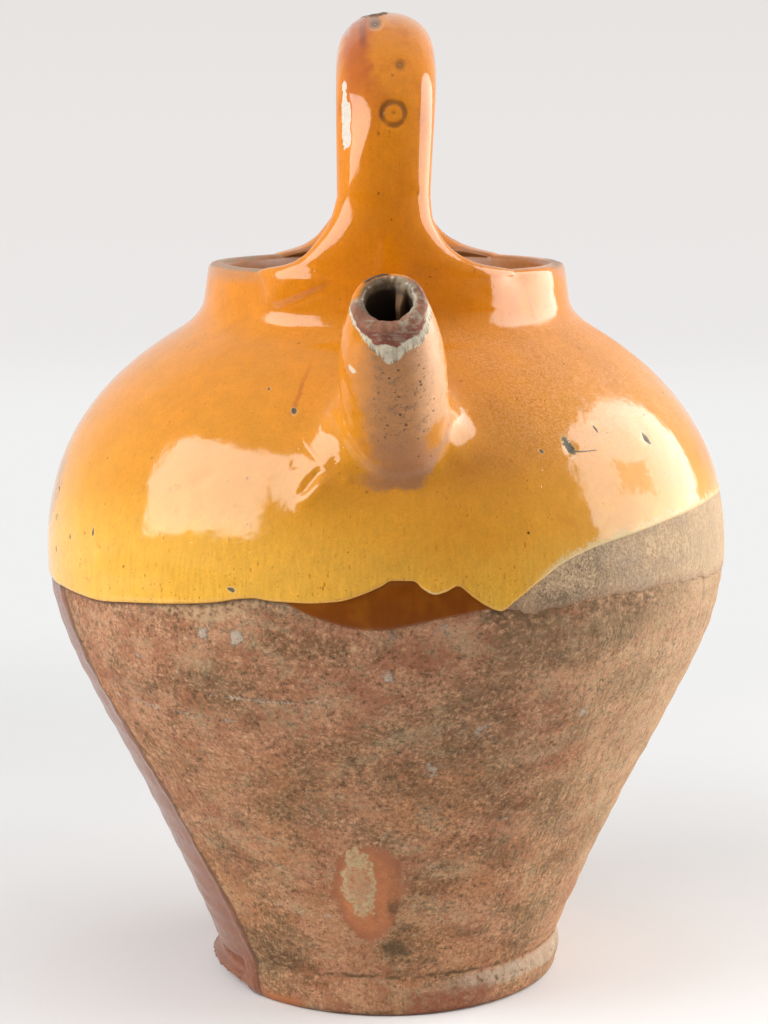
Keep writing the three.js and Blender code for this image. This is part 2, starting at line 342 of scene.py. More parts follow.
view = {
    "camera": (-0.95, -856.6, 315.1), "pitch": 9.56, "focalPixels": 2353.0, "tallPixels": 1024.0,
    "sensor": 36.0,
}
softboxes = {
    "leftSoftbox": {"shape": "RECTANGLE", "bearing": -65.5, "climb": 28.5, "roll": 14.0, "away": 950.0,
                    "wide": 740.0, "tall": 650.0, "watts": 8.4},
    "rightSoftbox": {"shape": "ELLIPSE", "bearing": 99.6, "climb": 16.0, "roll": -20.0, "away": 950.0,
                     "wide": 1090.0, "tall": 1040.0, "watts": 13.7},
}
room = {
    "aim": (0.0, 0.0, 190.0), "worldColour": (0.96, 0.98, 1.0), "worldStrength": 0.62, "cameraSide": 0.40,
    "seenColour": (0.880, 0.877, 0.872),
    "front": -4500.0, "back": 4500.0, "half": 4500.0, "wallTop": 4500.0, "sweep": 3000.0, "glowTop": 501.0,
    "paper": (0.70, 0.69, 0.68), "litNearPaper": (0.85, 0.835, 0.825), "tableEdge": (0.26, 0.25, 0.24),
    "glow": [(0.0, (0.886, 0.884, 0.880)), (0.09, (0.835, 0.815, 0.805)), (1.0, (0.805, 0.775, 0.755))],
}


def setCamera():
    lens = bpy.data.cameras.new("photoCamera")
    lens.sensor_width = view["sensor"]
    lens.lens = view["sensor"] * view["focalPixels"] / view["tallPixels"]
    lens.clip_start = 0.01
    camera = bpy.data.objects.new("photoCamera", lens)
    camera.location = Vector(view["camera"]) * mm
    camera.rotation_euler = (math.radians(90 - view["pitch"]), 0, 0)
    bpy.context.scene.collection.objects.link(camera)
    bpy.context.scene.camera = camera


def setSoftbox(name, values):
    bearing = math.radians(values["bearing"])
    climb = math.radians(values["climb"])
    aim = Vector(room["aim"])
    towards = turned(math.cos(climb), bearing, math.sin(climb))
    lamp = bpy.data.lights.new(name, "AREA")
    lamp.shape = values["shape"]
    lamp.size = values["wide"] * mm
    lamp.size_y = values["tall"] * mm
    lamp.energy = values["watts"]
    box = bpy.data.objects.new(name, lamp)
    box.location = (aim + towards * values["away"]) * mm
    facing = towards.to_track_quat("Z", "Y") @ Quaternion((0, 0, 1), math.radians(values["roll"]))
    box.rotation_euler = facing.to_euler()
    bpy.context.scene.collection.objects.link(box)


def setWorld():
    world = bpy.data.worlds.new("studio")
    world.use_nodes = True
    bpy.context.scene.world = world
    tree = world.node_tree
    backing = tree.nodes["Background"]
    way = Wire(tree, None).node("TexCoord", output="Generated")
    near = rise(-axis(way, "Y"), 0.2, 0.95)
    lit = (1 - near * (1 - room["cameraSide"])) * room["worldStrength"]
    seen = way.node("LightPath", output="Is Camera Ray")
    feed(backing, "Color", tint(seen, paint(*room["worldColour"]), paint(*room["seenColour"])))
    feed(backing, "Strength", lit + seen * (1 - lit))


def layFloor():
    material, shader, place = startMaterial("palePaper", roughness=0.9, specular=0.1)
    x = axis(place, "X")
    y = axis(place, "Y")
    z = axis(place, "Z")
    camera, glossy, through = (place.node("LightPath", output=ray) for ray in
                               ("Is Camera Ray", "Is Glossy Ray", "Is Transmission Ray"))
    # painted light: the floor paler near and in front of the pot, which lightens the pot's shadow there
    colour = tint(rise(y, 160, -60), paint(*room["paper"]), paint(*room["litNearPaper"]))
    colour = tint(rise(y, -220, -600) * (1 - camera), colour, paint(*room["tableEdge"]))
    feed(shader, "Base Color", shade(colour, 0.98 + grain(place, 60) * 0.03))
    height = z / room["glowTop"]
    stops = [(position, paint(*tone)) for position, tone in room["glow"]]
    far = place.node("Emission", {}, {"Color": height.node("ValToRGB", {"stops": stops}, {0: height})})
    plain = Wire(place.tree, shader.outputs["BSDF"])
    behind = (camera + glossy + through) * rise(y, 180, 620)
    around = camera * rise((x * x + y * y) ** 0.5, 300, 650)
    mixed = place.node("MixShader", {}, {0: place.math("MAXIMUM", behind, around), 1: plain, 2: far})
    feed(material.node_tree.nodes["Material Output"], "Surface", mixed)
    bm = bmesh.new()
    path = [(room["front"], 0), (room["back"] - room["sweep"], 0)]
    for i in range(1, 17):
        turn = math.pi / 2 * i / 16
        path.append((room["back"] - room["sweep"] * (1 - math.sin(turn)),
                     room["sweep"] * (1 - math.cos(turn))))
    path.append((room["back"], room["wallTop"]))
    chain = [bm.verts.new((-room["half"], y, z)) for y, z in path]
    edges = [bm.edges.new(pair) for pair in zip(chain, chain[1:])]
    wide = bmesh.ops.extrude_edge_only(bm, edges=edges)["geom"]
    bmesh.ops.translate(bm, vec=(2 * room["half"], 0, 0),
                        verts=[v for v in wide if isinstance(v, bmesh.types.BMVert)])
    bmesh.ops.scale(bm, vec=(mm, mm, mm), verts=bm.verts)
    mesh = bpy.data.meshes.new("paleFloor")
    bm.to_mesh(mesh)
    bm.free()
    mesh.polygons.foreach_set("use_smooth", [True] * len(mesh.polygons))
    mesh.materials.append(material)
    floor = bpy.data.objects.new("paleFloor", mesh)
    bpy.context.scene.collection.objects.link(floor)


setCamera()
for name, values in softboxes.items():
    setSoftbox(name, values)
setWorld()
layFloor()
bpy.context.scene.view_settings.view_transform = "Standard"
print("camera, lights and floor are set")


# where the glazes and the slip end: height in millimetres by angle in degrees

coats = {
    "glazeRun": [(-180, 162), (-130, 152), (-75, 152.6), (-61.7, 153.1), (-53.2, 153.3), (-42.7, 155.7),
                 (-33, 158), (-26.8, 159.8), (-22.6, 161.7), (-20, 162.3), (-17.4, 161.7), (-12.2, 161.6),
                 (-7.4, 162.4), (-3.7, 164.8), (-0.7, 167.7), (0.6, 169.3), (4.1, 169.1), (5.2, 166.7),
                 (7.1, 164.8), (9.1, 165.8), (10.5, 167.3), (12.6, 164), (15, 160.4), (17.3, 158.4),
                 (19.6, 161.6), (23.4, 167), (28.3, 172.7), (34.4, 176.4), (43.1, 178.9), (54.3, 181.2),
                 (71.2, 182.5), (100, 178), (130, 170), (180, 162)],
    "amberRun": [(-19.5, 162), (-15.7, 160.9), (-12.9, 158.2), (-9.4, 155.5), (-3.7, 152.7), (-1, 152.5),
                 (2.1, 153.4), (7.5, 155.8), (12.6, 157.7), (16.4, 158.9)],
    "slipRun": [(17, 158.4), (21.5, 156.8), (25.8, 157.1), (32.7, 158.6), (45.3, 159), (55.1, 158.1),
                (75.4, 154.6), (120, 156), (152, 164)],
    "glazeLift": 1.0,
}
glazeRun = smoothCurve(coats["glazeRun"])
amberRun = smoothCurve(coats["amberRun"])
slipRun = smoothCurve(coats["slipRun"])


# bare clay

clay = {
    "redBrown": paint(0.345, 0.134, 0.064), "pinkBrown": paint(0.505, 0.245, 0.132),
    "ochre": paint(0.45, 0.208, 0.090), "dust": paint(0.45, 0.325, 0.185),
    "soot": paint(0.075, 0.047, 0.022), "umber": paint(0.178, 0.094, 0.038),
    "lime": paint(0.56, 0.49, 0.39), "orange": paint(0.47, 0.165, 0.060), "crust": paint(0.52, 0.385, 0.21),
    "broken": paint(0.25, 0.070, 0.036), "run": paint(0.235, 0.085, 0.050),
    "tan": paint(0.53, 0.355, 0.190), "grey": paint(0.45, 0.385, 0.285),
    "ior": 1.5, "specular": 0.28, "ridgePitch": 9.5, "ridgeHeight": 0.13,
    "throwLines": [(117.0, -62, -16, 1.0), (126.8, -35, -4, 1.0), (96.0, -30, 20, 0.45),
                   (74.0, 5, 48, 0.4)],  # height, from and to angle, strength
    "scar": {"angle": -4.6, "height": 51.0, "halfAngle": 9.0, "half": 20.5},
    "crustOval": {"angle": -6.6, "height": 54.5, "halfAngle": 4.3, "half": 15.0},
    "runEdge": (-46.6, 17.0, -0.148),  # angle at the foot, the foot's height, degrees for each millimetre
    "bite": {"from": -98.0, "to": -50.0, "top": 3.9, "inner": 57.5, "flange": 4.2, "waisted": 3.0},
    "bead": [(-180, 0.6), (-40, 0.25), (10, 0.25), (45, 1.15), (110, 0.9), (180, 0.6)],
    # angle, height, halves, strength
    "blots": [(-34, 20, 13, 16, 0.20), (2, 29, 5, 9, 0.18), (47, 28, 10, 15, 0.14), (12, 104, 16, 17, 0.12),
              (27, 80, 11, 20, 0.10), (-22, 84, 9, 16, 0.10), (30, 146, 15, 9, 0.14),
              (-40, 62, 9, 14, 0.10), (-28, 131, 10, 8, 0.08), (6, 127, 12, 8, 0.10),
              (55, 60, 12, 30, 0.06), (23, 131, 12, 11, 0.12), (-2, 100, 12, 11, 0.05),
              (-33, 101, 11, 13, -0.08)],
    # both lists: angle, height, size, strength
    "smudges": [(2.0, 26.5, 6.5, 0.72), (2.2, 44.5, 4.6, 0.6), (5.6, 36.5, 4.4, 0.5)],
    "limeSpots": [(-29.1, 148.7, 3.1, 1.0), (-23.5, 148.4, 3.4, 0.95), (0.9, 150.3, 4.0, 0.75),
                  (0.2, 137.4, 3.4, 0.8), (8.2, 101.8, 5.0, 0.7), (15.4, 117.4, 5.0, 0.7),
                  (35.7, 119.3, 4.5, 0.7), (8.5, 152.4, 5.0, 0.65), (-44.0, 137.0, 2.0, 0.8)],
    "thumbed": {"angle": 33.0, "height": 143.0, "inner": 5.0, "outer": 21.0},  # arcs that a fingertip left
}


def ovalShare(oval, angle, height):  # 1 on the oval's edge, less inside
    return math.hypot((angle - oval["angle"]) / oval["halfAngle"], (height - oval["height"]) / oval["half"])


beadSize = smoothCurve(clay["bead"])


def ringLine(point, degrees, height):  # 1 on the lines that the potter's fingers left
    share = 0.0
    for level, start, end, strength in clay["throwLines"]:
        if start < degrees < end and abs(height - level) < 4:
            wave = 0.7 * rough(point, 12.0, 2, 4.0)
            ends = ease(start, start + 6, degrees) * ease(end, end - 8, degrees)
            share += strength * hump(height - level - wave, 0.8) * ends
    return share


def clayRelief(point, angle, height):  # how far the bare clay stands out of the plain outline
    degrees = math.degrees(angle)
    spiral = math.tau * (height + clay["ridgePitch"] * degrees / 360) / clay["ridgePitch"]
    ridge = math.sin(spiral + 2 * rough(point, 60.0))
    lift = clay["ridgeHeight"] * ridge + 0.22 * rough(point, 14.0) + 0.10 * rough(point, 3.5, 3, 2.0)
    lift -= 0.4 * ringLine(point, degrees, height)
    startAngle, startHeight, lean = clay["runEdge"]
    past = (startAngle + lean * (height - startHeight) - degrees) + 1.5 * rough(point, 25.0, 2, 6.0)
    if past > -3:
        coated = ease(-165, -115, degrees + 22 * rough(point, 34.0, 3, 7.0))
        lift += (0.55 * ease(-0.5, 0.9, past) + 0.35 * hump(past - 1.2, 1.0)) * coated
    oval = ovalShare(clay["scar"], degrees, height)
    if oval < 1.5:
        lift = between(lift, 0.05 * rough(point, 10.0), 1 - ease(0.8, 1.0, oval))
        lift += 0.3 * hump(oval - 1.0, 0.08)
        crust = ovalShare(clay["crustOval"], degrees, height) + 0.22 * rough(point, 6.0, 3, 8.0)
        lift += (1 - ease(0.8, 0.95, crust)) * (0.55 + 0.45 * rough(point, 2.2, 3, 9.0))
    return lift


# the whole section: underside, foot, outside, seat, inside and floor, with a flag for the outside
def clayRows():
    rows = [(r, 0.0, False) for r in (0.0, 22.0, 40.0, 50.0, 55.0, 57.5, 58.2, 58.9, 59.6)]
    foot = pot["footRadius"]
    corner = pot["footEase"]
    for i in range(5):
        turn = math.pi / 2 * i / 4
        rows.append((foot - corner * (1 - math.sin(turn)), corner * (1 - math.cos(turn)), True))
    for height in (3.0, 3.7, 4.4, 5.1, 5.8, 6.6, 7.4, 8.4, 9.4, 10.4, 11.4, 12.4, 13.4, 14.2):
        rows.append((between(foot, pot["waistRadius"], height / 15), height, True))
    height = pot["waistHeight"]
    while height < 186:
        rows.append((radiusAt(height), height, True))
        height += 1.28
    for i in range(9):
        height = between(188.0, pot["seatHeight"], i / 8)
        rows.append((radiusAt(height), height, False))
    rows.append((pot["seatRadius"] - 5.0, pot["seatHeight"], False))
    for i in range(30):
        height = between(pot["seatHeight"] - 2.0, 24.0, i / 29)
        radial, climb = outwards(height)
        radius = radiusAt(height)
        rows.append((radius - radial * pot["wall"], height - climb * pot["wall"], False))
    wallFoot = rows[-1]
    for i in range(1, 6):
        turn = math.pi / 2 * i / 5
        rows.append((wallFoot[0] - pot["floorCorner"] * (1 - math.cos(turn)),
                     between(wallFoot[1], pot["floor"], math.sin(turn)), False))
    rows += [(30.0, pot["floor"] + 0.6, False), (0.0, pot["floor"] + 1.0, False)]
    return rows


def footShape(degrees, radius, height):  # the foot's bead and, on the left, the piece that broke off
    bead = math.sin(math.pi * (height - 2.4) / 11.0) ** 2 if 2.4 < height < 13.4 else 0.0
    radius += beadSize(degrees) * bead - 0.5 * hump(height - 13.6, 0.9)
    broken = clay["bite"]
    ragged = 3.0 * noise.noise(Vector((degrees / 5, 2, 4)))
    gone = ease(broken["from"], broken["from"] + 8, degrees + ragged)
    gone *= 1 - ease(broken["to"] - 6, broken["to"], degrees + ragged)
    spot = turned(radius, math.radians(degrees), height)
    crumbled = broken["top"] * (1 + 0.2 * rough(spot, 4.0, 3, 11.0))
    if height == 0:
        share = min(max((radius - broken["inner"]) / 2.3, 0.0), 1.0)
        return radius, gone * crumbled * share, gone * ease(56.5, 57.8, radius)
    lifted = height + gone * crumbled * max(0.0, 1 - height / 13.4) ** 1.2
    flange = broken["flange"] * hump(lifted - broken["top"] - 0.8, 1.2)
    radius += gone * (flange - broken["waisted"] * ease(15.0, 8.0, lifted))
    return radius, lifted, gone * (1 - ease(broken["top"] + 0.2, broken["top"] + 1.0, lifted))


def throwClay(material):
    rows = clayRows()
    bm = throwBlank(len(rows), pot["segments"])
    chip = bm.verts.layers.float.new("chip")
    below = bm.verts.layers.float.new("belowRun")
    lime = bm.verts.layers.float.new("lime")
    lined = bm.verts.layers.float.new("ringLine")
    under = bm.verts.layers.float.new("belowSlip")
    for v in bm.verts:
        angle = angleOf(v.co)
        radius, height, outside = rows[round(v.co.z)]
        if radius == 0:
            v.co = (0, 0, height)
            continue
        if height < 14.5 and radius > 45:
            radius, height, v[chip] = footShape(math.degrees(angle), radius, height)
        point = turned(radius + wobble(angle, height), angle, height)
        if outside:
            lift = clayRelief(point, angle, max(height, 15.0)) * ease(0.0, 4.0, height)
            radial, climb = outwards(max(height, pot["waistHeight"] + 0.5))
            point = point + turned(radial * lift, angle, climb * lift)
            spotted = 0.0
            for at, level, size, strength in clay["limeSpots"]:
                across = math.radians(math.degrees(angle) - at) * radius
                if abs(across) < 3 * size and abs(height - level) < 3 * size:
                    spotted = max(spotted, strength * hump(math.hypot(across, height - level), size))
            v[lined] = ringLine(point, math.degrees(angle), height)
            v[lime] = spotted
            point = point + turned(0.35 * ease(0.3, 0.7, spotted) * (1 + rough(point, 1.5)), angle, 0)
        v[below] = glazeRun(math.degrees(angle)) - height
        v[under] = slipRun(math.degrees(angle)) - height
        v.co = point
    return finishPiece(bm, "clayPot", material, "bare_terracotta", "body")


def strokes(degrees, z, lean, length, width, low, high):  # fine scratches that lean the same way
    turn = math.radians(lean)
    across = degrees * 1.6  # about a millimetre
    along = across * math.cos(turn) + z * math.sin(turn)
    over = z * math.cos(turn) - across * math.sin(turn)
    spot = along.node("CombineXYZ", {}, {0: along / length, 1: over / width, 2: lean * 0.37})
    return rise(grain(spot, 1.0, 2.0, 0.5, warp=0.25), low, high)


def clayMaterial():
    material, shader, place = startMaterial("stainedTerracotta", ior=clay["ior"], specular=clay["specular"])
    x = axis(place, "X")
    z = axis(place, "Z")
    degrees = place.math("ARCTAN2", x, -axis(place, "Y")) * (180 / math.pi)

    cloud = grain(place, 48, 3, 0.5, (1, 1, 1.2), 0.5)
    film = grain(place, 15, 8, 0.66, (1, 1, 1.3), 0.4)
    stain = grain(place, 22, 9, 0.68, (0.8, 0.8, 1.3), 0.5)
    fleck = grain(place, 2.4, 6, 0.74, (0.9, 0.9, 1.1))
    fine = grain(place, 0.8, 3, 0.7)
    turning = grain(place, 3.4, 5, 0.65, (0.06, 0.06, 1))
    edge = grain(place, 5, 5, 0.68)
    jag = edge - 0.5
    grit = grain(place, 1.4, 5, 0.78)

    # mottled clay, stains and soot
    colour = Layers(clay, tint(rise(film, 0.34, 0.66), clay["redBrown"], clay["pinkBrown"]))
    colour.lay(rise(grain(place, 30, 5, 0.6), 0.42, 0.62) * rise(z, 140, 85) * 0.65, "ochre")
    middle = rise(degrees + (cloud - 0.5) * 70, -38, 18) * rise(z, 30, 70) * rise(degrees, 170, 110)
    for angle, height, halfAngle, half, strength in clay["blots"]:
        gap = (((degrees - angle) / halfAngle) ** 2 + ((z - height) / half) ** 2) ** 0.5
        stain = stain + rise(gap, 1.5, 0.1) * strength
    dull = rise(stain + (fleck - 0.5) * 0.6 + (grit - 0.5) * 0.36 + middle * 0.04, 0.47, 0.67)
    colour.lay(dull * 0.66, "umber")
    dusty = grain(place, 17, 9, 0.72, (0.8, 0.8, 1.3), 0.5) + (fleck - 0.5) * 0.4 + middle * 0.02
    colour.lay(rise(dusty, 0.51, 0.68) * 0.55, "dust")
    rightSide = rise(x + (film - 0.5) * 70, 38, 100)
    colour.lay(rightSide * rise(fleck, 0.3, 0.62) * 0.75, "tan")
    sooty = stain * 0.5 + grain(place, 9, 8, 0.76, (0.9, 0.9, 1.1)) * 0.5 + (fleck - 0.5) * 0.55
    colour.lay(rise(sooty, 0.56, 0.7) * 0.55, "soot")
    colour.lay(rise(fleck, 0.58, 0.69) * 0.58, "soot")
    pale = rise(fleck, 0.44, 0.33) * rise(film, 0.38, 0.52)
    colour.lay(pale * 0.62, "tan")
    lines = rise(turning, 0.57, 0.66) * rise(cloud, 0.45, 0.6)
    colour.lay(lines * 0.36, "umber")
    scuffs = rise(turning, 0.37, 0.3) * rise(fleck, 0.48, 0.6)
    colour.lay(scuffs * 0.45, "lime")
    colour.lay(rise(grit, 0.54, 0.64) * 0.6, "soot")
    colour.lay(rise(grit, 0.46, 0.36) * rise(film, 0.32, 0.48) * 0.62, "tan")
    # scratches, and arcs that a fingertip left
    brushed = rise(x + (film - 0.5) * 60, 20, 80) + rise(z, 110, 85) * 0.45
    colour.lay(strokes(degrees, z, 62, 8, 0.8, 0.6, 0.68) * rise(edge, 0.44, 0.6) * 0.4, "tan")
    colour.lay(strokes(degrees, z, 24, 11, 0.9, 0.61, 0.69) * rise(film, 0.46, 0.6) * 0.32, "dust")
    colour.lay(strokes(degrees, z, 82, 9, 0.9, 0.58, 0.67) * brushed * rise(edge, 0.36, 0.56) * 0.45, "tan")
    colour.lay(strokes(degrees, z, 98, 12, 1.2, 0.58, 0.67) * brushed * 0.4, "umber")
    thumb = clay["thumbed"]
    middleSpot = tuple(onPot(math.radians(thumb["angle"]), thumb["height"], 0))
    away = place.node("VectorMath", {"operation": "DISTANCE"}, {0: place, 1: middleSpot}, "Value")
    arcs = rise(place.math("SINE", away * 4.2 + jag * 9), 0.35, 0.9)
    arcs = arcs * rise(away, thumb["inner"], thumb["inner"] + 4)
    arcs = arcs * rise(away, thumb["outer"], thumb["outer"] - 8) * rise(degrees, 33, 36)
    arcs = arcs * rise(fleck, 0.44, 0.54)
    colour.lay(arcs * 0.55, "tan")
    # finger lines, and the clay just below the slip
    ringed = mark(place, "ringLine")
    broken = rise(film + (fleck - 0.5) * 0.5, 0.44, 0.54)
    colour.lay(rise(ringed + jag * 1.4, 0.3, 0.8) * rise(grit, 0.46, 0.58) * 0.7, "soot")
    colour.lay(rise(ringed + jag * 1.2, 0.4, 0.8) * broken * rise(fine, 0.42, 0.54) * 0.5, "lime")
    shaded = mark(place, "belowSlip") + jag * 9
    shaded = rise(shaded, 17, 1) * rise(degrees, 11, 18) * rise(degrees + jag * 20, 62, 42)
    colour.lay(shaded * rise(fleck, 0.38, 0.58) * 0.85, "umber")
    veil = rise(mark(place, "belowSlip") + jag * 14, 17, 1) * band(degrees, 36, 58, 120, 150)
    colour.lay(veil * rise(fleck, 0.6, 0.44) * 0.55, "tan", 0.55 + film * 0.45)
    # grainy in patches
    rubbed = 0.3 + rise(grain(place, 12, 4, 0.6, (1, 1, 1.6), 0.6) + (cloud - 0.5) * 0.3, 0.4, 0.62) * 0.8
    colour.vary(1.02 + ((fine - 0.5) * 0.9 - (grit - 0.5) - (fleck - 0.5) * 0.95) * rubbed)

    # lime spots and the scar with its crust
    limed = rise(mark(place, "lime") + jag * 1.6 + (fleck - 0.5) * 1.4, 0.5, 0.8)
    colour.lay(limed * rise(fine, 0.32, 0.5) * 0.7, "lime")
    scar = clay["scar"]
    oval = ((degrees - scar["angle"]) / scar["halfAngle"]) ** 2 + ((z - scar["height"]) / scar["half"]) ** 2
    inScar = rise(oval ** 0.5 + (film - 0.5) * 0.8 + jag * 0.5, 1.02, 0.9)
    colour.lay(inScar * 0.88, "orange", edge * 1.2 + fleck * 0.8 + grit - 0.48)
    edgeScar = inScar * rise(oval ** 0.5 + jag * 0.6, 0.7, 0.98)
    colour.lay(edgeScar * 0.45, "run")
    core = clay["crustOval"]
    patch = ((degrees - core["angle"]) / core["halfAngle"]) ** 2
    patch = patch + ((z - core["height"]) / core["half"]) ** 2
    inCrust = rise(patch ** 0.5 + jag * 1.5 + (fleck - 0.5) * 0.5, 1, 0.84)
    crust = tint(rise(patch ** 0.5 + jag * 2.4, 0.75, 0.45) * 0.65, clay["crust"], clay["pinkBrown"])
    colour.lay(inCrust * rise(fleck, 0.66, 0.48), crust, fleck * 1.1 + grit * 1.2 - 0.12)
    scorch = rise(abs(degrees - 1.6 + jag * 4), 1.9, 0.4) * band(z, 34, 44, 58, 66)
    colour.lay(scorch * rise(grit, 0.62, 0.44) * 0.3, "soot")
    for angle, height, size, strength in clay["smudges"]:
        gap = (((degrees - angle) * 1.35) ** 2 + (z - height) ** 2) ** 0.5 + jag * 16 + (fleck - 0.5) * 8
        colour.lay(rise(gap, size, size * 0.1) * strength, "soot")

    # the glossy run on the left, and where it broke off at the foot
    startAngle, startHeight, lean = clay["runEdge"]
    past = (z - startHeight) * lean + startAngle - degrees + (grain(place, 25, 2) - 0.5) * 3
    inRun = rise(past, -0.2, 0.8) * rise(degrees + (cloud - 0.5) * 90 + jag * 12, -165, -115)
    colour.lay(inRun * (0.55 + film * 0.5), "run")
    runLine = band(past, -0.5, 0.2, 0.4, 1.3) * rise(degrees, -100, -70)
    colour.lay(runLine * 0.5, "soot")
    colour.lay(mark(place, "chip") * 0.9, "broken", 0.6 + edge * 0.8)

    # dirt and a painted shade line along the glaze's edge, and the foot
    below = mark(place, "belowRun")
    slipped = rise(below + ((degrees + 27.5) / 5) ** 2 * 1.4 + jag * 4, 7.3, 6.1)
    colour.lay(slipped * rise(fleck + (grit - 0.5) * 0.5, 0.62, 0.42) * 0.75, "tan")
    # painted shade: a dark line just below the glaze's edge, under its bead
    colour.lay(rise(below, 1.8, 0.2) * 0.55, "soot")
    colour.lay(rise(below + jag * 8, 7, 1) * rise(fleck, 0.4, 0.6) * 0.4, "soot")
    # darker towards the very bottom, over the lowest 3 mm
    bottomDark = rise(z + jag * 10, 3, 0) * 0.4
    seam = rise(z + jag * 4, 16.5, 15.3) * rise(z + jag * 4, 13.9, 14.9) * rise(film, 0.42, 0.56)
    colour.lay(bottomDark + seam * 0.8 * band(degrees, -42, -30, 120, 170), "soot")
    # a pale grey band along the top of the foot's bead, partly the clay's own grey and partly a painted
    # highlight
    foot = rise(z + jag * 3, 14.5, 12.5) * rise(z + jag * 5, 6, 8.8)
    foot = foot * rise(degrees + jag * 30, 8, 36) * rise(degrees + jag * 60, 140, 90)
    colour.lay(foot * rise(fleck, 0.7, 0.44) * 0.62, "grey")
    ruddy = rise(z + jag * 4, 10, 8.6) * rise(degrees, 4, 9) * rise(degrees + jag * 10, 37, 33)
    colour.lay(ruddy * rise(fleck, 0.7, 0.4) * 0.75, "broken")
    warm = rise(z + jag * 3, 4.5, 2.5) * band(degrees, -46, -40, -32, -24)
    colour.lay(warm * 0.8, "orange")
    feed(shader, "Base Color", colour.wire)

    gloss = inRun * (1 - mark(place, "chip"))
    feed(shader, "Roughness", 0.74 - gloss * 0.5 - inScar * (1 - inCrust) * 0.2)
    skin = fleck * 0.7 + film * 0.8 + turning * 0.5 + fine * 0.15 + limed * 0.4
    feed(shader, "Normal", bump(skin * (1 - gloss * 0.85), 0.75, 0.9))
    return material


# glazed shoulder, collar and strap handle, one coat from the run line to the crown

glaze = {
    "bright": paint(0.82, 0.43, 0.055), "straw": paint(0.70, 0.375, 0.045),
    "gold": paint(0.67, 0.290, 0.020), "honey": paint(0.64, 0.228, 0.012),
    "toffee": paint(0.66, 0.205, 0.003), "rust": paint(0.42, 0.072, 0.007),
    "pool": paint(0.060, 0.018, 0.005), "worn": paint(0.40, 0.215, 0.135),
    "inner": paint(0.35, 0.138, 0.050), "rimGrey": paint(0.27, 0.24, 0.155),
    "slip": paint(0.70, 0.62, 0.52), "brown": paint(0.36, 0.115, 0.006), "broken": paint(0.40, 0.115, 0.06),
    "peach": paint(0.76, 0.37, 0.15), "cream": paint(0.74, 0.60, 0.33), "olive": paint(0.11, 0.085, 0.042),
    "ior": 1.50, "roughness": 0.085,
    # angle, height, half across, half high
    "nicks": [(32.8, 208.4, 1.7, 2.8), (52.6, 207.6, 1.3, 1.9), (40.5, 212.6, 0.6, 1.5),
              (27.1, 207.3, 0.8, 0.8), (-23.8, 164.6, 1.4, 0.9), (-53.9, 175.9, 0.7, 1.6),
              (-17.7, 220.1, 1.0, 1.0), (-24.6, 226.3, 0.5, 0.5), (-62.0, 172.0, 0.7, 1.2)],
    "dullPatch": (45.2, 196.6, 4.2, 5.2),
}
rim = {
    "height": 262.9, "outer": 64.5, "inner": 57.4, "base": 66.2, "lip": 1.9, "fillet": 7.5, "wallRows": 22,
    "pad": 3.6, "padHalf": 47.0, "padFoot": 240.0, "padTall": 23.0,  # clay under the strap's front foot
    "throatFoot": 243.0, "throatFlare": 3.2, "segments": 420,
    "foldEdge": [(-46, 264), (-42.7, 261.6), (-35.3, 251.1), (-27, 254.0), (-19.9, 257.7), (-10, 262)],
    "foldRise": 0.75,
}
strap = {
    "spread": 62, "footReach": 61.6, "legReach": 61.3, "spring": 288.3, "crown": 341.9, "curl": 0.86,
    # by station: 1 is the spring, 2 the crown
    "thickness": [(0.0, 12.4), (0.3, 13.2), (1.0, 15.6), (2.0, 18.8)],
    # half width of the flare by height over the rim
    "left": [(0, 46), (0.9, 43.5), (2.2, 37.2), (3.9, 32.1), (6.5, 27.9), (10.4, 24.4), (14.3, 21.4),
             (19.6, 18.6), (25.7, 16.9)],
    "right": [(0, 46), (0.9, 42.5), (2.2, 35.8), (3.5, 30.9), (5.7, 25.8), (9.1, 21.2), (13.5, 17.9),
              (19.6, 15.4), (25.7, 14.8)],
    "width": [(1.0, 31.7), (1.55, 34.2), (1.85, 33.4), (2.0, 32.0)],
    "shift": [(1.0, -1.05), (1.5, -0.3), (2.0, -0.3)],
    "square": [(0.0, 7.0), (0.3, 4.0), (0.7, 2.4), (1.0, 2.05), (2.0, 2.1)],
    "crowned": 0.36,  # how much fuller the outer face is than the hand side
    "legSteps": 28, "frontSteps": 100, "backSteps": 26,
    # across, height, size, depth, paleness of a painted glint in its centre
    "pits": [(-5.0, 351.2, 2.2, 0.5, 0.0), (-2.6, 309.5, 0.5, 0.35, 0.0), (-2.6, 289.5, 0.5, 0.35, 0.0),
             (4.4, 332.0, 2.1, 0.30, 0.6), (-4.0, 346.6, 2.0, 0.60, 0.6)],
    "seal": {"x": 2.2, "z": 316.0, "radius": 3.8, "depth": 0.42},
    "flake": {"low": 303.0, "high": 330.0, "outer": -15.5, "edge": -11.7, "depth": 0.45},
}
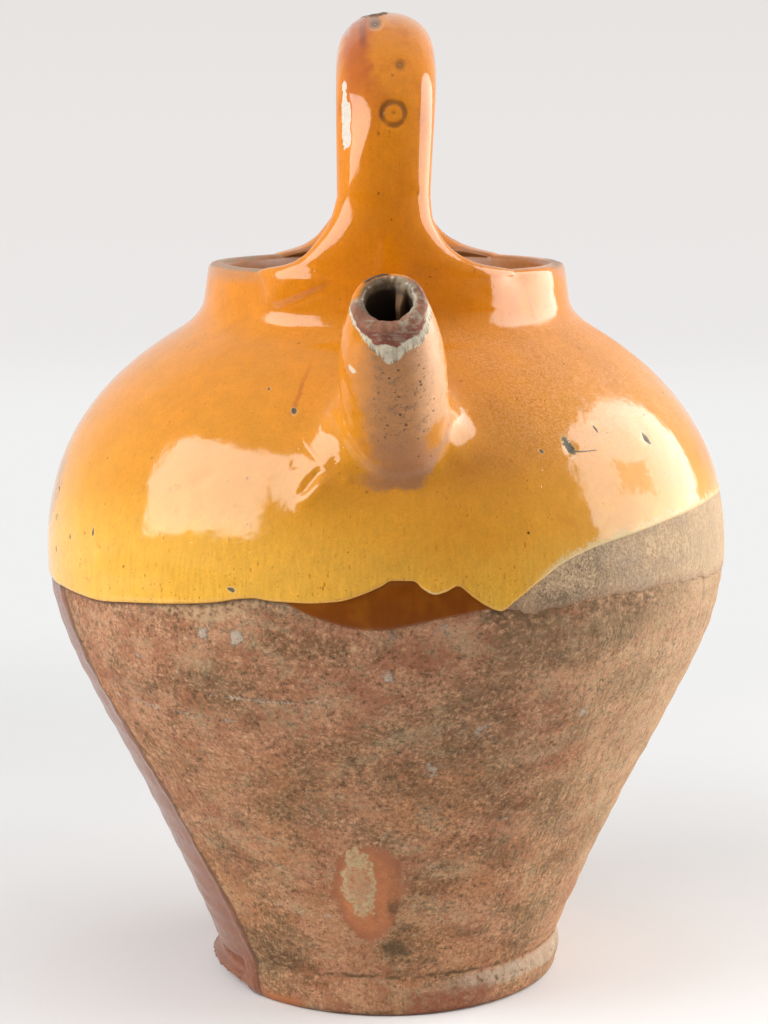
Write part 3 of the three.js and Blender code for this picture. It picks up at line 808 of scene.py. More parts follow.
smears = [  # what luting the spout left: from angle and height, to angle and height, width, lift
    (-7.0, 213.0, -10.0, 197.5, 9.5, 2.1), (-11.0, 202.2, -13.3, 195.6, 1.5, -1.1),
    (-10.2, 198.2, -12.6, 193.5, 2.4, 0.9), (-6.2, 199.7, -6.2, 199.7, 0.9, 0.9),
    (-8.4, 205.8, -8.6, 203.6, 0.7, -0.3), (-29.5, 200.5, -33.0, 195.5, 2.2, -0.4),
    (-15.2, 205.4, -15.2, 203.8, 1.1, -0.25), (-33.0, 195.0, -32.0, 184.0, 1.4, 0.25),
    (33.1, 209.0, 33.1, 206.4, 1.3, -0.7), (52.6, 207.6, 52.6, 207.0, 0.9, -0.7),
    (-17.7, 220.1, -17.7, 220.1, 0.8, -0.9), (-23.8, 164.0, -23.8, 164.0, 0.9, -0.6),
    (7.4, 166.6, 7.4, 167.6, 2.6, 0.9), (-19.0, 226.0, -19.0, 226.0, 0.7, 0.3),
]
foldEdge = smoothCurve(rim["foldEdge"])
strapCurves = {name: smoothCurve(strap[name])
               for name in ("thickness", "left", "right", "width", "shift", "square")}


def smearLift(angle, height, radius):
    lift = 0.0
    for startAngle, startHeight, endAngle, endHeight, wide, amount in smears:
        # the slope makes heights longer
        start = Vector((math.radians(startAngle) * radius, startHeight * 1.25))
        end = Vector((math.radians(endAngle) * radius, endHeight * 1.25))
        spot = Vector((angle * radius, height * 1.25))
        span = end - start
        share = min(max((spot - start).dot(span) / max(span.length_squared, 1e-6), 0.0), 1.0)
        gap = (spot - start - span * share).length
        if gap < 3 * wide:
            size = wide * (1 - 0.6 * abs(2 * share - 1) ** 1.5) if amount < 0 and span.length > 3 else wide
            lift += amount * hump(gap, size)
    return lift


def shoulderLumps(point):
    lift = smearLift(angleOf(point), point.z, math.hypot(point.x, point.y))
    return lift + 0.10 * rough(point, 16.0, 2, 1.0) + 0.05 * rough(point, 6.0, 2, 3.0)


def padLift(degrees, height):  # clay thumbed down over the collar under the strap's front foot
    inside = 1 - ease(0.62 * rim["padHalf"], rim["padHalf"], abs(degrees))
    lift = rim["pad"] * inside * min(max((height - rim["padFoot"]) / rim["padTall"], 0.0), 1.0)
    if -50 < degrees < -10:
        above = height - foldEdge(degrees)
        steep = 1 - ease(-40, -33, degrees)
        fade = 1 - ease(-24, -12, degrees)
        lift += rim["foldRise"] * ease(between(-1.3, -6.0, steep), between(1.8, 10.0, steep), above) * fade
        lift -= 0.08 * hump(above + 1.4, 1.8) * fade * (1 - steep)
    lift -= 0.55 * hump(math.hypot((degrees - 42.0) / 5.5, (height - 259.6) / 1.6), 1.0)
    return lift


def packed(share):  # closer rows at the height of the spout's root
    dense, middle = 0.45, 0.42
    return share - dense / math.tau * (math.sin(math.tau * (share - middle)) + math.sin(math.tau * middle))


def glazeRows():  # each row: kind and where it lies on that part of the section
    rows = [("edge", spot) for spot in ((0.9, -0.9), (0.25, -0.45), (-0.1, 0.1), (-0.12, 0.5),
                                        (0.12, 0.9), (0.6, 1.15), (1.3, 1.22), (2.4, 1.14), (3.8, 1.03))]
    rows += [("shoulder", packed(i / 58)) for i in range(59)]
    rows += [("fillet", i / 9) for i in range(1, 10)]
    rows += [("wall", i / rim["wallRows"]) for i in range(1, rim["wallRows"] + 1)]
    rows += [("lip", i / 8) for i in range(1, 9)]
    rows += [("throat", i / 5) for i in range(1, 6)]
    rows += [("under", i / 5) for i in range(6)]
    return rows


edgeTop = 5.4  # how far above the run line the glaze has its even thickness
filletFoot = 239.2  # where the shoulder turns up into the collar
filletTop = (rim["base"], pot["seatHeight"] + 5.0)


def glazePoint(kind, spot, angle):  # a point of the coat, and its height above the run line
    degrees = math.degrees(angle)
    run = glazeRun(degrees)
    if kind == "edge":
        along, lift = spot
        bead = 1 + 0.3 * noise.noise(Vector((degrees / 4, 3, 1))) + 1.3 * hump(degrees - 7.3, 1.7)
        thin = 1 - 0.3 * ease(20, 30, degrees) * ease(160, 140, degrees)
        swollen = bead * thin if lift > 0 else 1
        return onPot(angle, run + along, lift * coats["glazeLift"] * swollen), along
    if kind == "shoulder":
        height = heightAt(between(arcAt(run + edgeTop), arcAt(filletFoot), spot))
        point = onPot(angle, height, coats["glazeLift"])
        return point + normalAt(angle, height) * shoulderLumps(point), height - run
    if kind == "under":
        height = heightAt(between(arcAt(filletFoot + 2), arcAt(run + 2), spot))
        return onPot(angle, height, -1.6), height - run
    swell = 0.12 * rough(turned(60, angle, spot * 20), 14.0, 2, 5.0)
    if kind == "fillet":
        low = onPot(angle, filletFoot, coats["glazeLift"])
        lowSpot = (math.hypot(low.x, low.y), low.z)
        radial, climb = outwards(filletFoot)
        pull = (lowSpot[0] - climb * rim["fillet"] * 0.55, lowSpot[1] + radial * rim["fillet"] * 0.55)
        radius, height = bezier(lowSpot, pull, (filletTop[0] + 0.5, filletTop[1] - 4.0), filletTop, spot)
        radius += padLift(degrees, height)
    elif kind == "wall":
        height = between(filletTop[1], rim["height"] - rim["lip"], spot)
        radius = between(filletTop[0], rim["outer"], spot) + swell + padLift(degrees, height)
    elif kind == "lip":
        pad = padLift(degrees, rim["height"])
        start = (rim["outer"] + swell + pad, rim["height"] - rim["lip"])
        end = (rim["inner"], rim["height"] - rim["lip"])
        drop = 0.25 * rough(turned(60, angle, 0), 18.0, 2, 7.0)
        radius, height = bezier(start, (start[0], rim["height"] + 0.9 + drop),
                                (end[0], rim["height"] + 0.9 + drop), end, spot)
    else:
        height = between(rim["height"] - rim["lip"], rim["throatFoot"], spot)
        radius = rim["inner"] + rim["throatFlare"] * ease(0.6, 1.0, spot)
    return turned(radius, angle, height), height - run


def strapCentre(station, side):  # middle of the strap and its outward direction, in the plane of the arch
    if station <= 1:
        reach = between(strap["footReach"], strap["legReach"], ease(0, 1, station))
        height = between(rim["height"] - 0.3, strap["spring"], station * station)
        return Vector((0, side * reach, height)), Vector((0, side, 0))
    turn = math.pi / 2 * (station - 1)
    archRise = strap["crown"] - strap["spring"]

    def arch(a):
        return (strap["legReach"] * math.cos(a) ** strap["curl"],
                strap["spring"] + archRise * math.sin(a) ** strap["curl"])

    reach, height = arch(min(turn, math.pi / 2))
    if turn >= math.pi / 2 - 1e-6:
        return Vector((0, 0, strap["crown"])), Vector((0, 0, 1))
    ahead = arch(min(turn + 0.01, math.pi / 2))
    behind = arch(max(turn - 0.01, 0.0))
    tangent = Vector((0, side * (ahead[0] - behind[0]), ahead[1] - behind[1])).normalized()
    return Vector((0, side * reach, height)), Vector((0, side * tangent.z, -side * tangent.y))


def strapPoint(station, side, across, deep):  # across and deep run from -1 to 1 round a square
    centre, out = strapCentre(station, side)
    square = strapCurves["square"](station)
    rounding = (abs(across) ** square + abs(deep) ** square) ** (-1 / square)
    if station < 1:
        half = strapCurves["left" if across < 0 else "right"](centre.z - rim["height"] + 0.3)
        sideways = half * across * rounding
    else:
        sideways = strapCurves["width"](station) / 2 * across * rounding + strapCurves["shift"](station)
    depth = strapCurves["thickness"](station) / 2
    fuller = depth * strap["crowned"] * ease(0.3, 1.0, station)
    inwards = (depth + (fuller if deep < 0 else 0)) * deep * rounding + fuller
    straight = centre + Vector((sideways, 0, 0)) - out * inwards
    bend = 1 - ease(0.25, 1.0, station)
    if bend == 0:
        return straight
    ring = abs(centre.y)
    turn = sideways / ring
    bent = Vector(((ring - inwards) * math.sin(turn), side * (ring - inwards) * math.cos(turn), centre.z))
    return straight.lerp(bent, bend)


# pits, a plain pressed ring with a dot and a flaked strip, on the front of the strap only
def strapMarks(point, side):
    if side > 0 or point.z < 285:
        return 0.0, 0.0, 0.0
    pressed = 0.0
    raised = 0.0
    flaked = 0.0
    for x, z, size, depth, paleness in strap["pits"]:
        gap = math.hypot(point.x - x, point.z - z)
        pressed += depth * hump(gap, size)
        raised += 0.35 * depth * hump(gap - 1.8 * size, 0.5 * size)
        # painted highlight: a pale glint in the centre of some pits, carried in the flake mark
        flaked = max(flaked, paleness * hump(gap, 0.45 * size))
    seal = strap["seal"]
    ring = math.hypot(point.x - seal["x"], point.z - seal["z"])
    uneven = 0.8 + 0.5 * rough(point, 5.0, 2, 14.0)
    pressed += seal["depth"] * uneven * (hump(ring - seal["radius"], 1.05) + 0.8 * hump(ring, 1.1))
    strip = strap["flake"]
    ragged = 1.6 * rough(point, 4.0, 3, 12.0)
    chipped = ease(strip["low"], strip["low"] + 3, point.z + ragged)
    chipped = chipped * ease(strip["high"], strip["high"] - 5, point.z + 2 * ragged)
    inner = strip["edge"] - 2.2 * ease(317, 327, point.z)
    chipped *= ease(inner, inner - 1.0, point.x + 0.5 * ragged)
    chipped *= ease(strip["outer"], strip["outer"] + 0.5, point.x + 0.3 * ragged)
    return raised - pressed - strip["depth"] * chipped, pressed, max(flaked, chipped)


def thumbedFlat(point, side, deep):  # the flat that a thumb left on the strap's left shoulder
    if side > 0:
        return 0.0
    past = max(0.0, between(-12.0, -4.6, ease(290, 316, point.z)) - point.x)
    share = ease(284, 296, point.z) * ease(323, 313, point.z) * (1 - ease(-0.6, 0.25, deep))
    return 0.24 * share * past * past / (past + 1.2)


# draws the strap out of the rim's top, front and back, to meet at the crown
def pullHandle(bm, keys, pool, flake, wear):
    soft = []
    for side in (-1, 1):
        strip = [f for f in bm.faces if all(v in keys and keys[v][0] == side for v in f.verts)]
        stripSet = set(strip)
        edges = {e for f in strip for e in f.edges}
        border = [e for e in edges if sum(g in stripSet for g in e.link_faces) == 1]
        ring = {v: keys[v][1:] for e in border for v in e.verts}
        starts = {v: v.co.copy() for v in ring}
        bmesh.ops.delete(bm, geom=strip, context="FACES")
        border = [e for e in border if e.is_valid]
        soft += list(ring)
        steps = strap["frontSteps" if side < 0 else "backSteps"]
        stations = [i / strap["legSteps"] for i in range(1, strap["legSteps"] + 1)]
        stations += [1 + (i / steps) ** 1.2 for i in range(1, steps + 1)]
        for station in stations:
            made = bmesh.ops.extrude_edge_only(bm, edges=border)["geom"]
            fresh = {v for v in made if isinstance(v, bmesh.types.BMVert)}
            border = [e for e in made if isinstance(e, bmesh.types.BMEdge)]
            centre, out = strapCentre(station, side)
            held = 1 - ease(0.0, 0.3, station)
            nextRing = {}
            nextStarts = {}
            for v, (across, deep) in ring.items():
                new = next(e.other_vert(v) for e in v.link_edges if e.other_vert(v) in fresh)
                nextRing[new] = (across, deep)
                nextStarts[new] = starts[v]
                new[wear] = v[wear] * 0.75  # the strap itself isn't worn
                target = strapPoint(station, side, across, deep)
                lift = 0.16 * rough(target, 13.0, 2, 2.0)
                if deep < 0.3:
                    press, new[pool], new[flake] = strapMarks(target, side)
                    lift += press - thumbedFlat(target, side, deep)
                target = target + out * lift
                root = starts[v] + Vector((0, 0, centre.z - rim["height"] + 0.3))
                new.co = target.lerp(root, held)
            if station < 0.4:
                soft += list(nextRing)
            ring = nextRing
            starts = nextStarts
    for _ in range(3):
        bmesh.ops.smooth_vert(bm, verts=soft, factor=0.5, use_axis_x=True, use_axis_y=True, use_axis_z=True)


def crowd(turn):  # packs the segments closer at the front and the back
    return turn - 0.175 * math.sin(2 * turn)


def coatShoulder(material):
    rows = glazeRows()
    segments = rim["segments"]
    bm = throwBlank(len(rows), segments, closed=True)
    above = bm.verts.layers.float.new("aboveRun")
    wear = bm.verts.layers.float.new("wear")
    pool = bm.verts.layers.float.new("pool")
    flake = bm.verts.layers.float.new("flake")
    lipRows = [i for i, row in enumerate(rows) if row[0] == "lip"]
    first, last = lipRows[0] - 1, lipRows[-1] - 1
    keys = {}
    for v in bm.verts:
        turn = angleOf(v.co)
        row = round(v.co.z)
        kind, spot = rows[row]
        v.co, v[above] = glazePoint(kind, spot, crowd(turn))
        v[wear] = hump(spot - 0.5, 0.45) if kind == "lip" else 0.0
        if first <= row <= last:
            count = round(turn / math.tau * segments)
            deep = between(-1, 1, (row - first) / (last - first))
            if abs(count) <= strap["spread"]:
                keys[v] = (-1, count / strap["spread"], deep)
            elif segments / 2 - abs(count) <= strap["spread"]:
                fromBack = (segments / 2 - abs(count)) * (1 if count > 0 else -1)
                keys[v] = (1, fromBack / strap["spread"], deep)
    pullHandle(bm, keys, pool, flake, wear)
    return finishPiece(bm, "glazedShoulderAndHandle", material, "honey_glaze",
                       "glaze_coat", "collar", "handle", "handle_front_root", "handle_back_root")


def glazeTint(place):  # the honey glaze's colour anywhere on the pot
    x = axis(place, "X")
    z = axis(place, "Z")
    drift = grain(place, 36, 4, 0.55)
    mottle = grain(place, 8, 6, 0.66)
    streak = grain(place, 1.2, 4, 0.65, (1, 1, 0.09))
    fine = grain(place, 0.8, 3, 0.7)
    level = (z + (drift - 0.5) * 50 + (mottle - 0.5) * 22 - 150) / 150
    stops = ((0.02, "straw"), (0.2, "gold"), (0.5, "honey"), (0.72, "toffee"), (1, "toffee"))
    stops = [(position, glaze[name]) for position, name in stops]
    colour = Layers(glaze, level.node("ValToRGB", {"stops": stops}, {0: level}))
    leftSide = rise(-x + (drift - 0.5) * 80, -10, 90) * rise(z, 180, 225)
    colour.lay(leftSide * 0.55, "honey")
    dense = rise(drift + (mottle - 0.5) * 0.5, 0.5, 0.66) * rise(x, -40, 10)
    colour.lay(dense * 0.3, "brown")
    low = rise(z, 205, 160)
    # peach in grainy patches on the upper right shoulder, partly the glaze's own sandy look and partly a
    # painted sheen
    sandyAndSheen = rise(x + (drift - 0.5) * 60, 15, 60) * band(z, 196, 215, 240, 250)
    colour.lay(sandyAndSheen * rise(fine, 0.4, 0.6) * 0.48, "peach")
    bright = rise(-x + (drift - 0.5) * 60, -30, 30) * rise(z, 196, 172)
    colour.lay(bright * 0.6, "bright")
    colour.vary(0.6 + (streak - 0.5) * (0.2 + low * 0.34) + mottle * 0.48 + fine * 0.48)
    dots = specks(place, 3.2, 0.34, 0.4) * rise(mottle, 0.44, 0.56) + specks(place, 8, 0.55, 0.4)
    pepper = specks(place, 1.7, 0.26, 0.5) * low * rise(z + (mottle - 0.5) * 50, 190, 158)
    hairs = rise(grain(place, 1.2, 2, 0.5, (1, 1, 0.12), 0.4), 0.66, 0.73) * rise(mottle, 0.44, 0.6)
    dashes = cells(place, 2.4, (1, 1, 0.4))
    dashes = rise(dashes, 0.17, 0.1) * rise(mottle, 0.42, 0.58) * (0.25 + low)
    colour.lay((dots + pepper) * 0.75 + hairs * 0.5 + dashes * 0.6, "brown")
    colour.lay(specks(place, 14, 0.5, 0.35) * 0.9, "pool")
    return colour


def glazePeel(place):  # the slight unevenness that breaks the reflections' edges
    pits = specks(place, 5, 0.45, 0.3)
    return grain(place, 8, 2, 0.4) * 0.8 + grain(place, 2.4, 4, 0.6) * 0.2 - pits * 0.35


def glazeMaterial():
    material, shader, place = startMaterial("honeyGlaze", ior=glaze["ior"])
    x = axis(place, "X")
    y = axis(place, "Y")
    z = axis(place, "Z")
    colour = glazeTint(place)
    edge = grain(place, 4, 5, 0.7)
    jag = edge - 0.5
    fine = grain(place, 1, 4, 0.7)
    # strap: ruddy streaks, and the worn crown
    stain = rise(grain(place, 10, 4, 0.55, (1, 1, 0.3)), 0.5, 0.66) * rise(z, 290, 325)
    colour.lay(stain * 0.35, "rust")
    ruddy = rise(-x + jag * 8, 3, 8) * rise(-x, 17, 13) * rise(z + jag * 12, 314, 336)
    colour.lay(ruddy * 0.75, "rust")
    trickle = rise(abs(x + 8.2) + jag * 2, 1.8, 0.4) * band(z, 336, 341, 346, 350)
    colour.lay(trickle * 0.6, "rust", 0.3 + edge * 0.4)
    capped = rise(abs(x + 4.6) + jag * 5, 5.8, 4.2)
    capped = capped * rise(z + jag * 4.5 - (x + 6) ** 2 * 0.03, 348.4, 349.4)
    colour.lay(capped * 0.9, "olive", 0.25 + fine * 0.7)
    degrees = place.math("ARCTAN2", x, -y) * (180 / math.pi)
    drip = rise(abs(degrees + 17.7 + jag * 1.5), 0.75, 0.15) * band(z, 218.5, 220, 226, 238)
    colour.lay(drip * 0.45, "rust")
    rubbed = rise(abs(x + 14.6) + jag * 4, 2.4, 1.2) * rise(z + jag * 5, 341, 343)
    colour.lay(rubbed * rise(z, 349, 346.5) * rise(fine, 0.62, 0.44) * 0.6, "slip", 0.35 + fine * 0.6)
    limb = (((degrees + 79) / 8.5) ** 2 + ((z - 183) / 17) ** 2) ** 0.5 + jag * 1.6 + (fine - 0.5) * 0.6
    colour.lay(rise(limb, 1.1, 0.4) * 0.65, "worn")
    # nicks and cracks
    reach = (x * x + y * y) ** 0.5
    chipped = fine * 0
    for angle, height, across, tall in glaze["nicks"]:
        sideways = (degrees - angle) * reach * (math.pi / 180 / across) + (z - height) * (0.35 / tall)
        gap = (sideways ** 2 + ((z - height) / tall) ** 2) ** 0.5 + jag * 1.5 + (fine - 0.5) * 1.3
        colour.lay(rise(gap, 1.5, 1) * 0.35, "cream")
        chipped = place.math("MAXIMUM", chipped, rise(gap, 1.05, 0.75))
    crack = rise(abs(z - 206.2 + jag * 1.5), 0.24, 0.1)
    crack = crack * band(degrees, 33, 33.6, 37.5, 39.5)
    chipped = place.math("MAXIMUM", chipped, crack)
    hairline = rise(abs(degrees - 48.6 + (z - 252) * 0.2 + jag * 6), 0.3, 0.12)
    colour.lay(hairline * band(z, 244.5, 246, 258, 259.5) * 0.6, "brown")
    colour.lay(chipped, "olive", 0.5 + fine)
    # mouth and rim: the inside of the mouth darker, partly its own thinner glaze and partly painted shade
    inside = rise(reach + jag * 2, 60, 58.2) * rise(z, 268, 264)
    colour.lay(inside * 0.85, "inner", 0.45 + edge * 0.9)
    collarTop = rise(z + jag * 5, 256.5, 261) * rise(z, 266, 263.5)
    side = rise(abs(x), 40, 50)
    leftRim = rise(x + jag * 20, 30, -10) + rise(x, 56, 61)
    worn = rise(mark(place, "wear") + jag * 1.1, 0.45, 0.75) * leftRim
    colour.lay(collarTop * side * leftRim * 0.5, "worn")
    patchy = tint(rise(edge, 0.46, 0.58), glaze["worn"], glaze["rimGrey"])
    colour.lay(worn * 0.8, patchy, 0.5 + fine)
    colour.lay(worn * rise(fine, 0.58, 0.66) * 0.8, "pool")
    # flaked strip with the pits' painted glints, chip at the back root and pooled glaze
    flake = rise(mark(place, "flake") + jag * 0.9, 0.48, 0.58)
    colour.lay(flake, "slip", 0.6 + fine * 0.7)
    rub = place.node("VectorMath", {"operation": "DISTANCE"}, {0: place, 1: (24, 62, 269.5)}, "Value")
    rub = rub + jag * 15 + (fine - 0.5) * 4
    colour.lay(rise(rub, 6.6, 5.6) * 0.7, "worn")
    colour.lay(rise(rub, 5.8, 5), "broken", 0.5 + edge * 0.8)
    pool = mark(place, "pool") + jag * 0.2
    colour.lay(rise(pool, 0.05, 0.3) * (1 - flake) * 0.8, "brown", 0.45 + edge * 0.2)
    colour.lay(rise(pool, 0.3, 0.6) * (1 - flake) * 0.8, "pool")
    # the run line's feathered and beaded edge
    above = mark(place, "aboveRun")
    right = band(degrees, 20, 27, 140, 160)
    # a straw tint up to 15 mm above the edge on the right, partly paler glaze and partly a painted
    # reflection
    colour.lay(rise(above + jag * 10, 15, 2) * right * 0.35, "straw")
    feather = rise(above + jag * 6 + (fine - 0.5) * 7, 3.2, 0.2) * right
    colour.lay(feather * 0.75, "cream", 0.42 + fine * 0.9)
    # painted shade: dark brown on the glaze's bead at its very edge, away from the right side
    colour.lay(rise(above, 0.45, -0.2) * (1 - right) * 0.6, "brown")
    # painted highlight: a pale rim on the lower edge of the drip near 7 degrees
    drop = band(above, 1.1, 0.4, 0.2, -0.2) * rise(abs(degrees - 7.2), 2, 1.2)
    colour.lay(drop * rise(fine, 0.4, 0.55) * 0.7, "cream")
    feed(shader, "Base Color", colour.wire)

    # gloss: satin by the collar, a dull patch in the middle of the right side
    smooth = grain(place, 3, 5, 0.65)
    satin = rise(x + jag * 30, 32, 60) * rise(z + (smooth - 0.5) * 20, 217, 233) * rise(z, 248, 240)
    angle, height, across, tall = glaze["dullPatch"]
    slanted = (z - height + (degrees - angle) * 0.25) / tall
    gap = place.math("MAXIMUM", abs((degrees - angle) / across), abs(slanted))
    brushed = grain(place, 0.9, 4, 0.75, (1, 1, 0.2))
    ragged = jag * 0.7 + (fine - 0.5) * 1.3 + (brushed - 0.5) * (2 - slanted * 1.5)
    dulled = rise(gap + ragged, 1.1, 0.8) * 0.5 + feather * 0.4
    dulled = dulled + chipped * 0.5 + capped * 0.5
    matte = glaze["roughness"] + dulled + worn * 0.3 + flake * 0.5 + rise(smooth, 0.48, 0.75) * 0.06
    feed(shader, "Roughness", matte + satin * (0.12 + smooth * 0.3) + inside * 0.25)
    feed(shader, "Normal", bump(glazePeel(place) + fine * satin * 0.5, 0.4, 0.5))
    return material


# thin coats that show below the glaze's run line

amber = {
    "dark": paint(0.215, 0.050, 0.000), "light": paint(0.28, 0.076, 0.001), "roughness": 0.10, "ior": 1.38,
    "from": -20.4, "to": 16.2, "lift": 0.55, "ragged": 0.15, "grit": 0.02, "steps": 90, "rows": 16,
}
slip = {
    "dark": paint(0.385, 0.246, 0.134), "light": paint(0.66, 0.455, 0.264),
    "grey": paint(0.42, 0.315, 0.215),
    "grit": 0.05, "gritty": paint(0.130, 0.080, 0.042), "warm": paint(0.52, 0.355, 0.215),
    "roughness": 0.85,
    "brushMark": paint(0.28, 0.19, 0.12), "stain": paint(0.190, 0.112, 0.062),
    "thin": paint(0.335, 0.185, 0.105),
    "from": 17.0, "to": 152.0, "lift": 0.35, "ragged": 1.1, "steps": 320, "rows": 20,
}


def layCoat(name, material, slot, node, lowEdge, coat):
    bm = bmesh.new()
    bmesh.ops.create_grid(bm, x_segments=coat["steps"], y_segments=coat["rows"], size=0.5)
    over = bm.verts.layers.float.new("aboveLow")
    for v in bm.verts:
        degrees = between(coat["from"], coat["to"], v.co.x + 0.5)
        share = v.co.y + 0.5
        angle = math.radians(degrees)
        uneven = noise.noise(Vector((degrees / 3, 1, 2))) + 0.6 * noise.noise(Vector((degrees / 0.9, 5, 2)))
        run = glazeRun(degrees)
        low = min(lowEdge(degrees) + coat["ragged"] * uneven, run + 1.0)
        high = run + 2.0
        height = between(low, high, share ** 1.5)
        body = ease(0.0, 0.9, height - low)
        v[over] = height - low
        point = onPot(angle, height, 0)
        top = coat["lift"] + coat["grit"] * rough(point, 2.0)
        top = between(top, -0.35, ease(-0.3, 0.6, height - run))  # dips under the glaze
        v.co = onPot(angle, height, between(-0.7, top, body))
    bmesh.ops.solidify(bm, geom=bm.verts[:] + bm.edges[:] + bm.faces[:], thickness=-0.9)
    return finishPiece(bm, name, material, slot, node)


def amberMaterial():
    material, shader, place = startMaterial("thinAmberGlaze", roughness=amber["roughness"],
                                            ior=amber["ior"])
    streak = grain(place, 2, 3, 0.6, (1, 1, 0.15))
    colour = tint(rise(grain(place, 10), 0.35, 0.7), amber["dark"], amber["light"])
    feed(shader, "Base Color", shade(colour, 0.8 + streak * 0.35))
    feed(shader, "Normal", bump(grain(place, 5, 2), 0.3, 0.35))
    return material


def slipMaterial():
    material, shader, place = startMaterial("dryPaleSlip", roughness=slip["roughness"])
    x = axis(place, "X")
    fine = grain(place, 1.3, 4, 0.7)
    grit = grain(place, 1, 5, 0.8)
    patch = grain(place, 13, 6, 0.66)
    brush = grain(place, 1.6, 3, 0.6, (1, 1, 0.12))
    colour = Layers(slip, tint(rise(fine, 0.34, 0.64), slip["dark"], slip["light"]))
    colour.lay(rise(patch + (fine - 0.5) * 0.3, 0.5, 0.64) * 0.45, "grey")
    left = rise(x + (patch - 0.5) * 60, 88, 62)
    dark = rise(grit + left * 0.06 + (patch - 0.5) * 0.55 + (fine - 0.5) * 0.3, 0.52, 0.66)
    colour.lay(dark * (0.4 + left * 0.4), "gritty")
    colour.lay(rise(x, 90, 114) * 0.5, "warm")
    colour.lay(rise(brush, 0.56, 0.68) * rise(x, 80, 105) * 0.4, "brushMark")
    stains = rise(grain(place, 9, 6, 0.7) + (fine - 0.5) * 0.5, 0.52, 0.66) * rise(x, 112, 80)
    colour.lay(stains * 0.45, "stain")
    thin = rise(mark(place, "aboveLow") + (patch - 0.5) * 8 + (fine - 0.5) * 3, 4.5, 0.4)
    colour.lay(thin * 0.6, "thin")
    feed(shader, "Base Color", colour.wire)
    feed(shader, "Normal", bump(fine + grit * 0.5 + patch * 0.4, 0.6, 0.8))
    return material


# spout

spout = {
    "root": (3.0, -105.0, 216.0), "pitch": 52.0, "lean": -2.5 / 55.0, "length": 55.6, "tilt": 1.3,
    "side": [(-20, 17.0), (10, 17.2), (24, 17.1), (34, 16.4), (42, 15.1), (48, 13.6),
             (52.6, 12.2), (55.6, 11.3)],
    "bore": 7.4, "boreRoot": 12.5, "plunge": 16.0, "lip": 1.7, "segments": 150,
    "peach": paint(0.52, 0.225, 0.070), "tan": paint(0.45, 0.195, 0.062),
    "mauve": paint(0.38, 0.155, 0.075), "olive": paint(0.19, 0.105, 0.045),
    "speck": paint(0.060, 0.028, 0.012), "pinkAndSheen": paint(0.84, 0.47, 0.25), "slip": paint(0.76, 0.66, 0.48),
    "greySlip": paint(0.42, 0.35, 0.25), "red": paint(0.230, 0.068, 0.038),
    "rawLip": paint(0.30, 0.125, 0.070),
    "ring": paint(0.20, 0.155, 0.095), "boreShift": 1.2,
    "boreShade": paint(0.055, 0.034, 0.02), "boreLitTan": paint(0.40, 0.22, 0.11),
    "skirt": 12.5, "skirtFront": 5.5,  # how far the clay worked round its root reaches, and at the front
}
spoutAxis = Vector((spout["lean"], -math.cos(math.radians(spout["pitch"])),
                    math.sin(math.radians(spout["pitch"])))).normalized()
spoutRoot = Vector(spout["root"])
spoutTurn = Vector((0, 0, 1)).rotation_difference(spoutAxis)
spoutSide = smoothCurve(spout["side"])


def shoulderGap(point):  # distance above the glazed shoulder
    height = min(max(point.z, 20.0), pot["seatHeight"])
    radial, _ = outwards(height)
    radius = radiusAt(height) + wobble(angleOf(point), height)
    return (math.hypot(point.x, point.y) - radius) * radial - coats["glazeLift"]


# the glazed shoulder at this distance from the spout's axis, and its height along it
def shoulderUnder(out, reach):
    base = spoutRoot + out * reach
    along = 0.0
    for _ in range(8):
        along -= shoulderGap(base + spoutAxis * along)
    point = base + spoutAxis * along
    lump = normalAt(angleOf(point), point.z) * shoulderLumps(point)
    return point + lump, along + lump.dot(spoutAxis)


def spoutRows():  # the closed section: tuck under the shoulder, skirt, side, lip and bore
    rows = [("tuck", 0.6, -2.2), ("tuck", 1.4, -0.4)]
    rows += [("skirt", 1 - i / 18, 0.0) for i in range(18)]
    rows += [("side", i / 56, 0.0) for i in range(57)]
    rows += [("lip", i / 8, 0.0) for i in range(1, 9)]
    rows += [("bore", i / 24, 0.0) for i in range(1, 25)]
    return rows


